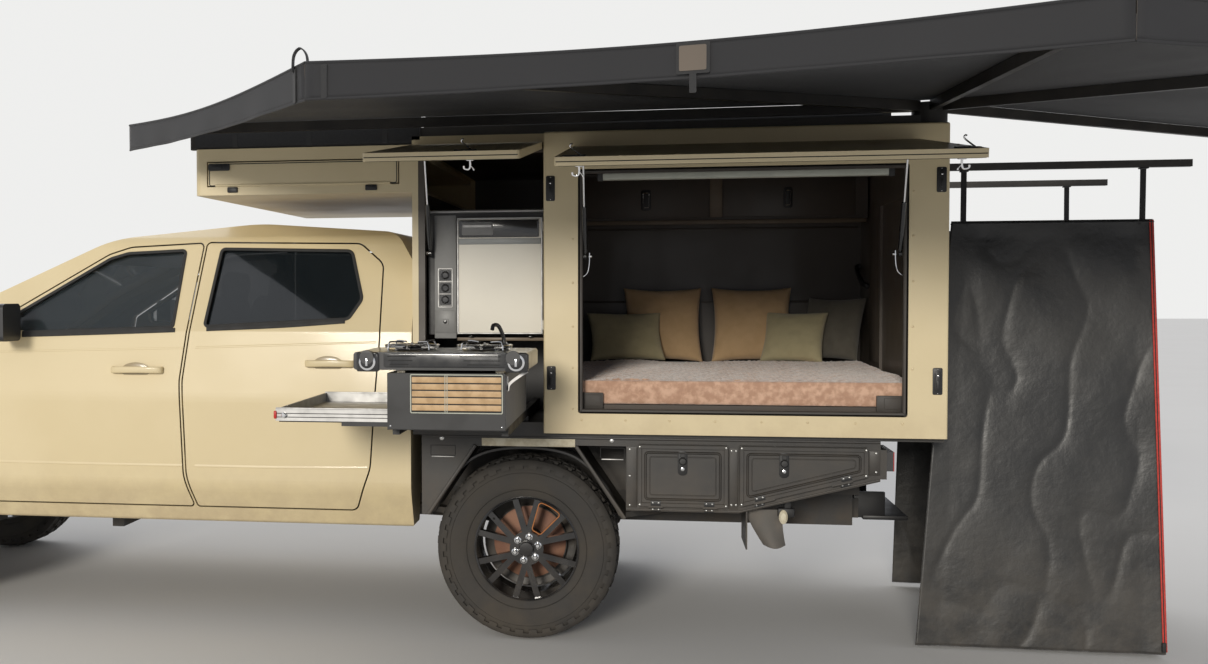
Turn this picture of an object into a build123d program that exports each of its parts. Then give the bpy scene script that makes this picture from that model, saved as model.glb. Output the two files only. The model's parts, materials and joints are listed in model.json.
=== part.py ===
# Truck camper: a double-cab pickup with a flat tray, side toolboxes and a camper body,
# parked with its side hatch, kitchen, awning and rear shower cubicle set out.
#
# The model is drawn from the rear axle: X runs rearward, Y to the right, Z up from the ground.
# Each piece is moved on export so that the origin is the centre of the outline on the ground.
from build123d import *
import math
import os

os.makedirs("parts", exist_ok=True)

# Driving dimensions, millimetres

# Wheels and running gear
wheelbase = 3270
half_track = 780
tyre_radius = 400
tyre_width = 265
rim_radius = 229
rim_barrel_wall = 9
hub_radius = 62
disc_radius = 165
kingpin_y = 655
rail_inner = 310
rail_outer = 390
rail_bottom = 450
rail_top = 590
axle_tube_radius = 44
hitch_pin_x = 1575
hitch_pin_radius = 8
arm_drop = 134
engine_length = 620
engine_width = 520
gearbox_radius = 99
gearbox_low = 380

# Cab
sill_bottom = 475
floor_bottom = 600
cab_rear = -505
cab_wall = 60
skin = 8
door_gap = 7
door_setback = 26
glass_thickness = 5
glass_depth = 16
seat_clear = 0.3
b_pillar = -1552
cowl_x = -3000
roof_top = 1845
half_width = 925

# Front end
front_x = -4165
fender_wall = 35
arch_radius = 490
hood_half = half_width - 190
latch_top = 1000

# Tray and toolboxes
deck_top = 900
deck_thickness = 40
tray_front = -455
tray_rear = 1470
tray_half = 950
toolbox_inner = 560
toolbox_wall = 15
toolbox_front = 430
toolbox_low = 585
slope_start = 900
toolbox_rear_low = 730
box_door_thickness = 20
knuckle_radius = 5
wheel_opening_top = 217
wheel_opening_foot = 428
arch_sheet = 8
tail_beam = 25

# Camper body
camper_rear = 1715
main_front = 85
bay_front = -490
main_half = 1010
side_wall = 60
bay_half = main_half - side_wall
bay_wall = 40
camper_bottom = 920
camper_floor_top = 960
camper_top = 2195
roof_thickness = 40
opening_front = 230
opening_rear = 1560
opening_low = 1006
opening_high = 2035
luton_front = -1475
luton_bottom = 1955
luton_top = 2160
rear_door_left = -340
rear_door_right = 300
rear_door_low = 1000
rear_door_high = 1960
panel_gap = 6
rear_door_depth = 36
stop_lip = 20
hatch_gap = 5

# Hatches
hatch_thickness = 30
hatch_open = 82
main_hinge_z = 2100
main_hatch_length = 1105
kitchen_hinge_z = 2130
kitchen_hatch_length = 1000

# Gas struts: feet as (y, z) on the frame, heads at a reach and drop from the hinge
strut_reach = 110
strut_drop = 30
main_strut_foot = (35 - main_half, 1670)
main_strut_x = (258, 1532)
kitchen_strut_foot = (25 - bay_half, 1690)
kitchen_strut_x = (-415,)
tube_length = 218
tube_radius = 10
strut_rod_radius = 4

# Kitchen
kitchen_front_y = -bay_half - 850
kitchen_box_depth = 800
kitchen_box_width = 440
kitchen_box_low = 1014
kitchen_box_high = 1224
kitchen_box_x = -430
hob_low = 1236
hob_high = 1322
tray_reach = 435

# Awning and shower
awning_pivot = (1660, 70 - bay_half, 2296)
arm_height = 40
arm_width = 25
arm_back = 14
pivot_radius = 70
awning_sheet = 10
valance_height = 110
shower_rear = 2744
shower_bar_z = 2045
shower_near_y = -646
shower_far_y = 361
shower_cloth = 14

# The row's frame
ground_shift_x = 128
ground_shift_y = 1077

# Each side of the vehicle: name and sign of Y
sides = [("left", -1), ("right", 1)]

front_axle = -wheelbase
fender_inner = half_width - fender_wall


def block(low, high, mode=Mode.ADD):
    """A box between two opposite corners, added to the part being built."""
    middle = [(a + b) / 2 for a, b in zip(low, high)]
    with Locations(tuple(middle)):
        Box(*[b - a for a, b in zip(low, high)], mode=mode)


def side_block(side, x_span, y_span, z_span, mode=Mode.ADD):
    """A box on one side of the vehicle; y_span is measured outward from the middle."""
    ys = sorted(side * y for y in y_span)
    block((x_span[0], ys[0], z_span[0]), (x_span[1], ys[1], z_span[1]), mode)


def rod(start, end, radius, mode=Mode.ADD):
    """A round bar from one point to another."""
    along = Vector(*end) - Vector(*start)
    with BuildSketch(Plane(origin=start, z_dir=along)) as section:
        Circle(radius)
    extrude(section.sketch, amount=along.length, mode=mode)


def across(centre, radius, length, mode=Mode.ADD):
    """A cylinder along Y, centred on a point."""
    with Locations(Location(centre, (90, 0, 0))):
        Cylinder(radius, length, mode=mode)


def side_outline(rows, reach, mode=Mode.ADD, inset=0):
    """An outline in the side view, rows of (x, z, corner radius), carried from Y -reach to +reach."""
    with BuildSketch(Plane.XZ) as outline:
        with BuildLine():
            FilletPolyline(*[(x, z) for x, z, r in rows], radius=[r for x, z, r in rows], close=True)
        make_face()
        if inset:
            offset(amount=-inset, kind=Kind.INTERSECTION)
    extrude(outline.sketch, amount=reach, both=True, mode=mode)


def side_prism(rows, side, y_span, mode=Mode.ADD, inset=0):
    """An outline in the side view, carried outward over y_span on one side."""
    y_start, y_end = [side * y for y in y_span]
    with BuildSketch(Plane.XZ.offset(-y_start)) as outline:
        with BuildLine():
            FilletPolyline(*[(x, z) for x, z, r in rows], radius=[r for x, z, r in rows], close=True)
        make_face()
        if inset:
            offset(amount=-inset, kind=Kind.INTERSECTION)
    extrude(outline.sketch, amount=y_start - y_end, mode=mode)


pieces = {}

# Cab outline in the side view: x, z, corner radius
cab_side = [
    (cab_rear, sill_bottom, 12),
    (cab_rear, 1640, 120),
    (-600, 1795, 120),
    (-1280, roof_top, 900),
    (-1950, 1775, 600),
    (-2530, 1505, 600),
    (cowl_x, 1190, 30),
    (cowl_x + 15, 985, 60),
    (-2745, 760, 60),
    (-2720, sill_bottom, 12),
]

# Cab cross section, right half, from the floor's middle up: y, z, corner radius
cab_section = [
    (half_width - 235, floor_bottom, 8),
    (half_width - 213, sill_bottom, 8),
    (half_width - 75, sill_bottom, 25),
    (half_width, 650, 150),
    (half_width, 1050, 400),
    (half_width - 32, 1345, 40),
    (half_width - 180, 1765, 90),
    (half_width - 365, roof_top + 20, 300),
]


def cab_solid(inset):
    """The cab's outer form, taken in by inset all round."""
    half = [(y, z, r) for y, z, r in cab_section]
    rows = half + [(-y, z, r) for y, z, r in reversed(half)]
    with BuildPart() as body:
        side_outline(cab_side, half_width + 50, inset=inset)
        with BuildSketch(Plane.YZ.offset(cowl_x - 100)):
            with BuildLine():
                FilletPolyline(*[(y, z) for y, z, r in rows], radius=[r for y, z, r in rows], close=True)
            make_face()
            if inset:
                offset(amount=-inset, kind=Kind.INTERSECTION)
        extrude(amount=cab_rear - cowl_x + 200, mode=Mode.INTERSECT)
    return body.part


cab_outer = cab_solid(0)
cab_under_skin = cab_solid(skin)
cab_inner = cab_solid(cab_wall)
cab_glass_outer = cab_solid(glass_depth)
cab_glass_inner = cab_solid(glass_depth + glass_thickness)

# Door openings in the side view: x, z, corner radius
front_door_rows = [
    (-2500, 545, 30),
    (-2562, 760, 100),
    (-2575, 1150, 100),
    (-2520, 1375, 40),
    (-1965, 1705, 150),
    (-1860, 1738, 150),
    (b_pillar + 52, 1755, 25),
    (b_pillar + 12, 1354, 60),
    (b_pillar - 18, 1123, 200),
    (b_pillar, 700, 200),
    (b_pillar + 42, 545, 20),
]
rear_door_rows = [
    (b_pillar + 42 + door_gap, 545, 20),
    (b_pillar + door_gap, 700, 200),
    (b_pillar - 18 + door_gap, 1123, 200),
    (b_pillar + 12 + door_gap, 1354, 60),
    (b_pillar + 52 + door_gap, 1757, 25),
    (-760, 1745, 60),
    (-648, 1650, 60),
    (-645, 1320, 200),
    (-685, 741, 200),
    (-755, 545, 40),
]
front_window_rows = [
    (-2425, 1338, 25),
    (-2415, 1405, 30),
    (-1955, 1680, 100),
    (-1870, 1705, 100),
    (-1590, 1717, 15),
    (-1612, 1364, 15),
]
rear_window_rows = [
    (-1462, 1368, 15),
    (-1416, 1722, 20),
    (-800, 1708, 30),
    (-738, 1490, 40),
    (-795, 1402, 30),
]
doors = [("front", front_door_rows, front_window_rows), ("rear", rear_door_rows, rear_window_rows)]
door_reach = (half_width - 365, half_width + 40)


def door_prism(rows, side, inset=0):
    """A door's outline carried through the side wall only, clear of the floor and the far roof."""
    with BuildPart() as prism:
        side_prism(rows, side, door_reach, inset=inset)
        side_block(side, (cowl_x, cab_rear), (door_reach[0] - 10, half_width - 160), (500, 1150),
                   Mode.SUBTRACT)
    return prism.part


# Hinge leaves at each door's front edge: x span, then the z span of each leaf
leaf_spans = {"front": (-2600, -2515), "rear": (b_pillar - 60, b_pillar + 40)}
leaf_heights = [(720, 790), (1000, 1070)]
leaf_reach = (half_width - 53, half_width - 20)

# Windscreen in plan and rear window from behind, half outlines
windscreen_rows = [(-2900, half_width - 285), (-2060, half_width - 365)]
rear_window_half = half_width - 365
rear_window_low = 1400
rear_window_high = 1650


def windscreen_prism(grow, mode):
    """The windscreen's outline seen from above, carried up through the cab's front."""
    (x_low, y_low), (x_high, y_high) = windscreen_rows
    with BuildSketch(Plane.XY.offset(1180)) as outline:
        with BuildLine():
            Polyline(
                (x_low - grow, -y_low - grow),
                (x_high + grow, -y_high - grow),
                (x_high + grow, y_high + grow),
                (x_low - grow, y_low + grow),
                close=True,
            )
        make_face()
        fillet(vertices(), 40)
    extrude(outline.sketch, amount=roof_top - 1180 + 40, mode=mode)


with BuildPart() as cab_shell:
    add(cab_outer)
    add(cab_inner, mode=Mode.SUBTRACT)
    for _, side in sides:
        for _, door_rows, _ in doors:
            add(door_prism(door_rows, side), mode=Mode.SUBTRACT)
        side_block(side, (cowl_x - 60, -2582), (fender_inner - seat_clear, half_width + 60),
                   (sill_bottom - 10, 1500), Mode.SUBTRACT)
    windscreen_prism(0, Mode.SUBTRACT)
    block((cab_rear - cab_wall - 40, -rear_window_half, rear_window_low),
          (cab_rear + 40, rear_window_half, rear_window_high), Mode.SUBTRACT)
pieces["cab_shell"] = cab_shell

with BuildPart() as fixed_glass:
    add(cab_glass_outer)
    add(cab_glass_inner, mode=Mode.SUBTRACT)
    windscreen_prism(-seat_clear, Mode.INTERSECT)
with BuildPart() as rear_glass:
    add(cab_glass_outer)
    add(cab_glass_inner, mode=Mode.SUBTRACT)
    inset_half = rear_window_half - seat_clear
    block((cab_rear - 60, -inset_half, rear_window_low + seat_clear),
          (cab_rear + 40, inset_half, rear_window_high - seat_clear), Mode.INTERSECT)
with fixed_glass:
    add(rear_glass.part)
pieces["fixed_glass"] = fixed_glass

# Mirror housing on each front door: centre and size
mirror_x = -2372
mirror_z = 1390
mirror_out = half_width + 180
mirror_corner = 24

for place, door_rows, window_rows in doors:
    for side_name, side in sides:
        with BuildPart() as door:
            add(cab_outer)
            add(cab_under_skin, mode=Mode.SUBTRACT)
            add(door_prism(door_rows, side, door_gap), mode=Mode.INTERSECT)
        with BuildPart() as door_inner:
            add(cab_under_skin)
            add(cab_inner, mode=Mode.SUBTRACT)
            add(door_prism(door_rows, side, door_gap + door_setback), mode=Mode.INTERSECT)
        with door:
            add(door_inner.part)
            for leaf_z in leaf_heights:
                with BuildPart(mode=Mode.PRIVATE) as leaf:
                    side_prism(door_rows, side, leaf_reach, inset=seat_clear)
                    side_block(side, leaf_spans[place], leaf_reach, leaf_z, Mode.INTERSECT)
                add(leaf.part)
            side_prism(window_rows, side, door_reach, Mode.SUBTRACT)
            if place == "front":
                side_block(side, (mirror_x - 30, mirror_x + 30), (half_width - 45, half_width + 35),
                           (1318, 1350))
                with BuildPart() as housing:
                    side_block(side, (mirror_x - 45, mirror_x + 45), (half_width + 15, mirror_out),
                               (mirror_z - 85, mirror_z + 85))
                    fillet(housing.edges().filter_by(Axis.X), mirror_corner)
                    fillet(housing.edges().group_by(Axis.X)[0], mirror_corner / 2)
                add(housing.part)
        pieces[f"door_{place}_{side_name}"] = door

        with BuildPart() as door_glass:
            add(cab_glass_outer)
            add(cab_glass_inner, mode=Mode.SUBTRACT)
            side_prism(window_rows, side, door_reach, Mode.INTERSECT, inset=seat_clear)
        if (place, side_name) == ("rear", "left"):
            with fixed_glass:
                add(door_glass.part)
        else:
            pieces[f"glass_{place}_{side_name}"] = door_glass

# Front end outline in the side view: x, z, corner radius
nose_side = [
    (-2588, sill_bottom + 15, 10),
    (-2588, 1150, 20),
    (cowl_x - 12, 1172, 20),
    (-3700, 1128, 300),
    (-4060, 1070, 90),
    (-4110, 760, 20),
    (-4090, 640, 10),
    (-2760, 640, 10),
    (-2720, sill_bottom + 15, 10),
]
nose_section = [
    (half_width - 40, sill_bottom, 10),
    (half_width, 650, 100),
    (half_width, 950, 100),
    (half_width - 65, 1085, 90),
    (half_width - 305, 1186, 200),
]


nose_plan = [
    (-2500, -half_width - 8, 1),
    (-3700, -half_width - 8, 500),
    (-4110, 135 - half_width, 120),
    (-4110, half_width - 135, 120),
    (-3700, half_width + 8, 500),
    (-2500, half_width + 8, 1),
]


def rounded_or_inset(rows, inset):
    """An outline in the current sketch: rounded at full size, or sharp and taken in by inset."""
    corners = [(a, b) for a, b, r in rows]
    with BuildLine() as outline:
        if inset:
            Polyline(*corners, close=True)
        else:
            FilletPolyline(*corners, radius=[r for a, b, r in rows], close=True)
    make_face(outline.line.edges())
    if inset:
        offset(amount=-inset, kind=Kind.INTERSECTION)


def nose_solid(inset):
    """The front wings and hood as one form, taken in by inset, with its plan tapered to the front."""
    section_rows = nose_section + [(-y, z, r) for y, z, r in reversed(nose_section)]
    with BuildSketch(Plane.XZ) as side_form:
        rounded_or_inset(nose_side, inset)
    with BuildSketch(Plane.YZ.offset(front_x - 60)) as cross_form:
        rounded_or_inset(section_rows, inset)
    with BuildSketch(Plane.XY) as plan_form:
        rounded_or_inset(nose_plan, inset)
    with BuildPart() as body:
        extrude(side_form.sketch, amount=half_width + 20, both=True)
        extrude(cross_form.sketch, amount=1900, mode=Mode.INTERSECT)
        extrude(plan_form.sketch, amount=1400, mode=Mode.INTERSECT)
    return body.part


nose_outer = nose_solid(0)
nose_inner = nose_solid(fender_wall)
lamp_front = -4112
lamp_rear = -3900
lamp_inner = 470
lamp_low = 880
lamp_high = 1010

with BuildPart() as fenders:
    add(nose_outer)
    block((front_x, -hood_half, 400), (-2500, hood_half, 1300), Mode.SUBTRACT)
    add(nose_inner, mode=Mode.SUBTRACT)
    block((cowl_x - 60, -fender_inner, 400), (-2500, fender_inner, 1300), Mode.SUBTRACT)
    across((front_axle, 0, tyre_radius), arch_radius, 3 * half_width, Mode.SUBTRACT)
    block((front_x, -half_width - 10, 400), (-2500, half_width + 10, 506), Mode.SUBTRACT)
    for _, side in sides:
        side_block(side, (lamp_front - 60, lamp_rear + seat_clear), (lamp_inner, half_width + 10),
                   (lamp_low - seat_clear, lamp_high + seat_clear), Mode.SUBTRACT)
        side_block(side, (front_x, -4030), (hood_half - 1, half_width - 120), (700, lamp_low + 1),
                   Mode.SUBTRACT)
        side_block(side, (front_x, -3700), (hood_half, half_width + 10), (400, 752), Mode.SUBTRACT)
pieces["fenders"] = fenders

with BuildPart() as hood:
    add(nose_outer)
    add(nose_inner, mode=Mode.SUBTRACT)
    block((front_x, -hood_half + 5, 1040), (cowl_x - 12, hood_half - 5, 1300), Mode.INTERSECT)
    # Raised middle, shallow at the front and fading into the rear edge
    side_outline([(-3980, 1040, 5), (-3940, 1098, 60), (-3560, 1162, 300), (cowl_x - 60, 1192, 30),
                  (cowl_x - 40, 1120, 5)], 300)
    add(nose_inner, mode=Mode.SUBTRACT)
    # Striker over the latch panel
    block((-4045, -30, latch_top + seat_clear), (-4015, 30, 1060))
pieces["hood"] = hood

with BuildPart() as front_bumper:
    with BuildSketch(Plane.XY.offset(430)):
        with BuildLine():
            FilletPolyline(
                (-3760, -half_width + 12), (-4000, 75 - half_width), (front_x, -640),
                (front_x, 640), (-4000, half_width - 75), (-3760, half_width - 12),
                (-3760, 700), (-4040, 560), (-4040, -560), (-3760, -700),
                radius=[5, 120, 90, 90, 120, 5, 5, 60, 60, 5], close=True,
            )
        make_face()
    extrude(amount=300)
    with BuildSketch(Plane.YZ.offset(front_x + 60)):
        with Locations((0, 500)):
            Rectangle(900, 90)
    extrude(amount=-80, mode=Mode.SUBTRACT)
    across((front_axle, 0, tyre_radius), arch_radius + 10, 3 * half_width, Mode.SUBTRACT)
    # Grille above the bumper: a frame with level bars
    block((-4100, -460, 730), (-4062, 460, 1040))
    block((-4120, -420, 760), (-4040, 420, 1010), Mode.SUBTRACT)
    block((-4075, -90, latch_top - 50), (-4000, 90, latch_top))
    # Panels beside the grille, under the lamps
    for _, side in sides:
        side_block(side, (-4098, -4062), (459, half_width - 130), (730, lamp_low - seat_clear))
    for bar_z in (790, 850, 910, 970):
        block((-4095, -421, bar_z), (-4070, 421, bar_z + 22))
    for bar_y in (-300, 300):
        block((-4090, bar_y - 20, 755), (-4068, bar_y + 20, 1015))
pieces["front_bumper"] = front_bumper

with BuildPart() as lamps:
    for _, side in sides:
        side_prism([(lamp_front + 30, lamp_low, 15), (lamp_rear, lamp_low + 20, 10),
                    (lamp_rear, lamp_high, 10), (lamp_front + 42, lamp_high, 25)],
                   side, (lamp_inner + 4, half_width - 125))
        # Tail lamp under the tray's end
        side_block(side, (tray_rear + tail_beam + seat_clear, tray_rear + tail_beam + 35),
                   (tray_half - 310, tray_half - 50), (770, 850))
pieces["lamps"] = lamps

# Chassis: two rails, crossmembers, body mounts, tow hitch and fuel tank
with BuildPart() as chassis_frame:
    for _, side in sides:
        side_block(side, (-4040, 1440), (rail_inner, rail_outer), (rail_bottom, rail_top))
        for mount_x in (-2600, -1640, -740):
            side_block(side, (mount_x, mount_x + 90), (rail_inner, rail_outer), (rail_top - 1, floor_bottom))
    for cross_x in (-3990, -1400, -640, 480, 1380):
        block((cross_x, -rail_inner - 10, 520), (cross_x + 60, rail_inner + 10, 570))
    # Gearbox crossmember, hung under the rails
    for _, side in sides:
        side_block(side, (-2130, -2070), (rail_inner, rail_outer), (gearbox_low - 30, rail_bottom + 1))
    block((-2130, -rail_outer, gearbox_low - 30), (-2070, rail_outer, gearbox_low))
    # Tow hitch receiver
    block((1440, -300, 470), (1480, 300, 560))
    block((1470, -32, 480), (1620, 32, 544))
    block((1500, -25.5, 486.5), (1640, 25.5, 537.5), Mode.SUBTRACT)
    across((hitch_pin_x, 0, 512), hitch_pin_radius, 100, Mode.SUBTRACT)
    # Fuel tank strapped inside the left rail
    block((-1330, -rail_outer - 240, rail_bottom + 10), (-700, -rail_outer, rail_top - 10))
pieces["chassis_frame"] = chassis_frame

with BuildPart() as powertrain:
    block((-3680, -engine_width / 2, 480), (-3680 + engine_length, engine_width / 2, 1000))
    gearbox_z = gearbox_low + seat_clear + gearbox_radius
    with BuildSketch(Plane.YZ.offset(-3680 + engine_length)):
        with Locations((0, gearbox_z + 20)):
            Circle(135)
    with BuildSketch(Plane.YZ.offset(-2600)):
        with Locations((0, gearbox_z)):
            Circle(gearbox_radius)
    loft()
    rod((-2600, 0, gearbox_z), (-1750, 0, gearbox_z), gearbox_radius)
    # Propeller shaft to the rear axle, and mounts out to the rails
    rod((-1760, 0, gearbox_z - 20), (-136, 0, tyre_radius), 36)
    block((-3420, -rail_inner, 500), (-3340, rail_inner, 560))
pieces["powertrain"] = powertrain

# Wheels: place, X of the axle, side
wheels = [
    ("front_left", front_axle, -1),
    ("front_right", front_axle, 1),
    ("rear_left", 0, -1),
    ("rear_right", 0, 1),
]
tyre_half = tyre_width / 2
barrel_half = 118
spoke_count = 6
hub_end = 740
rim_boss_start = hub_end + seat_clear - half_track
rim_boss_end = barrel_half - 40

for wheel_name, axle_x, side in wheels:
    hub_y = side * half_track
    with BuildPart() as tyre:
        with BuildSketch(Plane.XY) as tyre_section:
            with BuildLine():
                Polyline(
                    (rim_radius + seat_clear, -tyre_half + 18),
                    (tyre_radius - 70, -tyre_half),
                    (tyre_radius - 22, -tyre_half + 10),
                    (tyre_radius, -tyre_half + 38),
                    (tyre_radius, tyre_half - 38),
                    (tyre_radius - 22, tyre_half - 10),
                    (tyre_radius - 70, tyre_half),
                    (rim_radius + seat_clear, tyre_half - 18),
                    close=True,
                )
            make_face()
        revolve(axis=Axis.Y)
    tyre_at = Location((axle_x, hub_y, tyre_radius))
    tyre.part = tyre.part.moved(tyre_at)
    pieces[f"tyre_{wheel_name}"] = tyre

    # Rim: a barrel, a hub and six spokes that split in two toward the barrel
    face_y = side * (barrel_half - 46)
    with BuildPart() as rim:
        with BuildSketch(Plane.XZ.offset(-barrel_half)):
            Circle(rim_radius)
            Circle(rim_radius - rim_barrel_wall, mode=Mode.SUBTRACT)
        extrude(amount=2 * barrel_half)
        with BuildSketch(Plane.XZ.offset(-face_y)):
            Circle(hub_radius + 12)
            for spoke in range(spoke_count):
                for splay in (-13, 13):
                    turn = 90 + spoke * 360 / spoke_count
                    root = (50 * math.cos(math.radians(turn)), 50 * math.sin(math.radians(turn)))
                    tip_turn = math.radians(turn + splay)
                    tip = (224 * math.cos(tip_turn), 224 * math.sin(tip_turn))
                    with BuildLine(mode=Mode.PRIVATE) as spoke_line:
                        Line(root, tip)
                    make_face(trace(spoke_line.line, line_width=26, mode=Mode.PRIVATE).edges())
        extrude(amount=-side * 34)
        # Boss from the spokes in to the wheel hub
        across((0, side * (rim_boss_start + rim_boss_end) / 2, 0), hub_radius, rim_boss_end - rim_boss_start)
    rim.part = rim.part.moved(tyre_at)
    pieces[f"rim_{wheel_name}"] = rim

# Front knuckles: hub, upright with its kingpin, brake disc and caliper
for side_name, side in sides:
    with BuildPart() as knuckle:
        across((front_axle, side * (kingpin_y + hub_end) / 2, tyre_radius), hub_radius, hub_end - kingpin_y)
        side_block(side, (front_axle - 35, front_axle + 35), (kingpin_y - 18, kingpin_y + 18),
                   (tyre_radius - arm_drop + 5, tyre_radius + arm_drop - 5))
        with Locations((front_axle, side * kingpin_y, tyre_radius)):
            Cylinder(12, 2 * (arm_drop - seat_clear))
        across((front_axle, side * (kingpin_y + 62), tyre_radius), disc_radius, 24)
        side_block(side, (front_axle + 95, front_axle + 180), (kingpin_y + 30, kingpin_y + 90),
                   (tyre_radius - 60, tyre_radius + 60))
    pieces[f"knuckle_{side_name}"] = knuckle

# Front suspension: subframe, lower and upper arms, damper towers and steering rack
subframe_half = 160
with BuildPart() as front_suspension:
    block((front_axle - subframe_half, -rail_outer, 228), (front_axle + subframe_half, rail_outer, 300))
    for _, side in sides:
        side_block(side, (front_axle - 50, front_axle + 50), (rail_inner, rail_outer), (299, rail_bottom))
        side_block(side, (front_axle - 70, front_axle + 70), (rail_outer, rail_outer + 90),
                   (tyre_radius + 60, rail_top))
        with Locations((front_axle, side * (rail_outer + 45), tyre_radius)):
            Cylinder(28, 2 * arm_drop - 10)
        for arm_low, arm_high in ((-arm_drop - 28, -arm_drop), (arm_drop, arm_drop + 24)):
            with BuildSketch(Plane.XY.offset(tyre_radius + arm_low)) as arm:
                with BuildLine():
                    Polyline(
                        (front_axle - 150, side * (rail_outer + 0.3)),
                        (front_axle - 30, side * (kingpin_y - 10)),
                        (front_axle - 14, side * (kingpin_y + 18)),
                        (front_axle + 14, side * (kingpin_y + 18)),
                        (front_axle + 30, side * (kingpin_y - 10)),
                        (front_axle + 150, side * (rail_outer + 0.3)),
                        close=True,
                    )
                make_face()
            extrude(arm.sketch, amount=arm_high - arm_low)
    rod((front_axle + 200, -440, 330), (front_axle + 200, 440, 330), 22)
    block((front_axle + subframe_half - 1, -200, 290), (front_axle + 230, 200, 352))
pieces["front_suspension"] = front_suspension

# Rear axle: tube, differential, brake discs, hubs and leaf springs with their shackles
spring_width = 70
spring_inner = 465
leaf_rows = [
    (-640, 530), (-560, 505), (-200, 452), (200, 452), (560, 505), (640, 530),
    (640, 554), (560, 529), (200, 482), (-200, 482), (-560, 529), (-640, 554),
]
with BuildPart() as rear_axle:
    across((0, 0, tyre_radius), axle_tube_radius, 2 * (hub_end - 20))
    with Locations((0, 0, tyre_radius)):
        Sphere(135)
    for _, side in sides:
        across((0, side * (hub_end - 28), tyre_radius), disc_radius, 24)
        across((0, side * (hub_end - 30), tyre_radius), hub_radius, 60)
        side_block(side, (-90, 90), (spring_inner - 5, spring_inner + spring_width + 5),
                   (tyre_radius + 20, 453))
        with BuildSketch(Plane.XZ.offset(-side * spring_inner)) as leaf:
            with BuildLine():
                Polyline(*leaf_rows, close=True)
            make_face()
        extrude(leaf.sketch, amount=-side * spring_width)
        for eye_x in (-640, 640):
            across((eye_x, side * (rail_outer + 72.5), 542), 22, 145)
pieces["rear_axle"] = rear_axle

# Cab inside: dashboard with the steering wheel, and seats
cab_lining = cab_solid(cab_wall + seat_clear)
with BuildPart() as dashboard:
    side_outline([(-2900, 880, 30), (-2560, 880, 60), (-2500, 1080, 60), (-2560, 1200, 60),
                  (-2780, 1225, 40), (-2900, 1150, 20)], half_width - 120)
    add(cab_lining, mode=Mode.INTERSECT)
    block((-2620, -100, floor_bottom + cab_wall), (-2480, 100, 900))
    rod((-2560, -380, 1040), (-2330, -380, 1140), 32)
    with BuildSketch(Plane(origin=(-2330, -380, 1140), z_dir=(230, 0, 100))):
        Circle(185)
        Circle(163, mode=Mode.SUBTRACT)
        Rectangle(340, 34)
    extrude(amount=26)
pieces["dashboard"] = dashboard

# Seats: front of the cushion, centre of Y, width
seat_rows = [(-2020, -390, 500), (-2020, 390, 500), (-1195, 0, 2 * (half_width - 275))]
with BuildPart() as seats:
    for seat_x, seat_y, seat_width in seat_rows:
        with BuildSketch(Plane.XZ.offset(-(seat_y - seat_width / 2))) as seat_side:
            with BuildLine():
                FilletPolyline(
                    (seat_x, floor_bottom + cab_wall), (seat_x, 960), (seat_x + 380, 945),
                    (seat_x + 470, 1500),
                    (seat_x + 540, 1620), (seat_x + 590, 1610), (seat_x + 560, 1300), (seat_x + 500, 900),
                    (seat_x + 500, floor_bottom + cab_wall),
                    radius=[10, 40, 60, 60, 20, 20, 100, 40, 10], close=True,
                )
            make_face()
        extrude(amount=-seat_width)
pieces["seats"] = seats

# Tray: deck plate on cross beams and two long members on the chassis rails
deck_under = deck_top - deck_thickness
with BuildPart() as tray_frame:
    block((tray_front, -tray_half + 20, deck_under), (tray_rear, tray_half - 20, deck_top))
    for _, side in sides:
        side_block(side, (tray_front, tray_rear), (rail_inner, rail_outer), (rail_top, deck_under - 60))
    for beam_x in (tray_front, -250, 240, 760, 1120, tray_rear - 50):
        block((beam_x, -toolbox_inner + 10, deck_under - 60), (beam_x + 50, toolbox_inner - 10, deck_under))
    # Beam across the tail that carries the lamps
    block((tray_rear, -tray_half + 20, 740), (tray_rear + tail_beam, tray_half - 20, deck_under + 2))
pieces["tray_frame"] = tray_frame

# Toolboxes under the deck: side outline, with a sloping floor toward the rear
toolbox_face = tray_half - box_door_thickness - seat_clear
toolbox_rows = [
    (toolbox_front, deck_under, 1),
    (toolbox_front, toolbox_low, 1),
    (slope_start, toolbox_low, 1),
    (tray_rear, toolbox_rear_low, 1),
    (tray_rear, deck_under, 1),
]
toolbox_split = 878
# Door outlines: name, rows of (x, z, corner radius), hinge x span
box_doors = [
    ("front", [(478, 606, 8), (478, 872, 8), (toolbox_split - 22, 872, 8), (toolbox_split - 22, 606, 8)]),
    ("rear", [(toolbox_split + 22, 612, 8), (toolbox_split + 22, 872, 8), (1420, 872, 8), (1420, 748, 8)]),
]
with BuildPart() as toolboxes:
    for _, side in sides:
        side_prism(toolbox_rows, side, (toolbox_inner, toolbox_face))
    for _, side in sides:
        side_prism([
            (toolbox_front + toolbox_wall, deck_under - toolbox_wall, 1),
            (toolbox_front + toolbox_wall, toolbox_low + toolbox_wall, 1),
            (slope_start - 2, toolbox_low + toolbox_wall, 1),
            (tray_rear - toolbox_wall, toolbox_rear_low + toolbox_wall + 2, 1),
            (tray_rear - toolbox_wall, deck_under - toolbox_wall, 1),
        ], side, (toolbox_inner + toolbox_wall, toolbox_face - toolbox_wall), Mode.SUBTRACT)
        for _, rows in box_doors:
            side_prism(rows, side, (toolbox_face - toolbox_wall - 5, toolbox_face + 5),
                       Mode.SUBTRACT, inset=16)
        # Middle post between the two doors
        side_block(side, (toolbox_split - 10, toolbox_split + 10), (toolbox_inner + 5, toolbox_face - 5),
                   (toolbox_low + 5, deck_under - 5))
pieces["toolboxes"] = toolboxes

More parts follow.
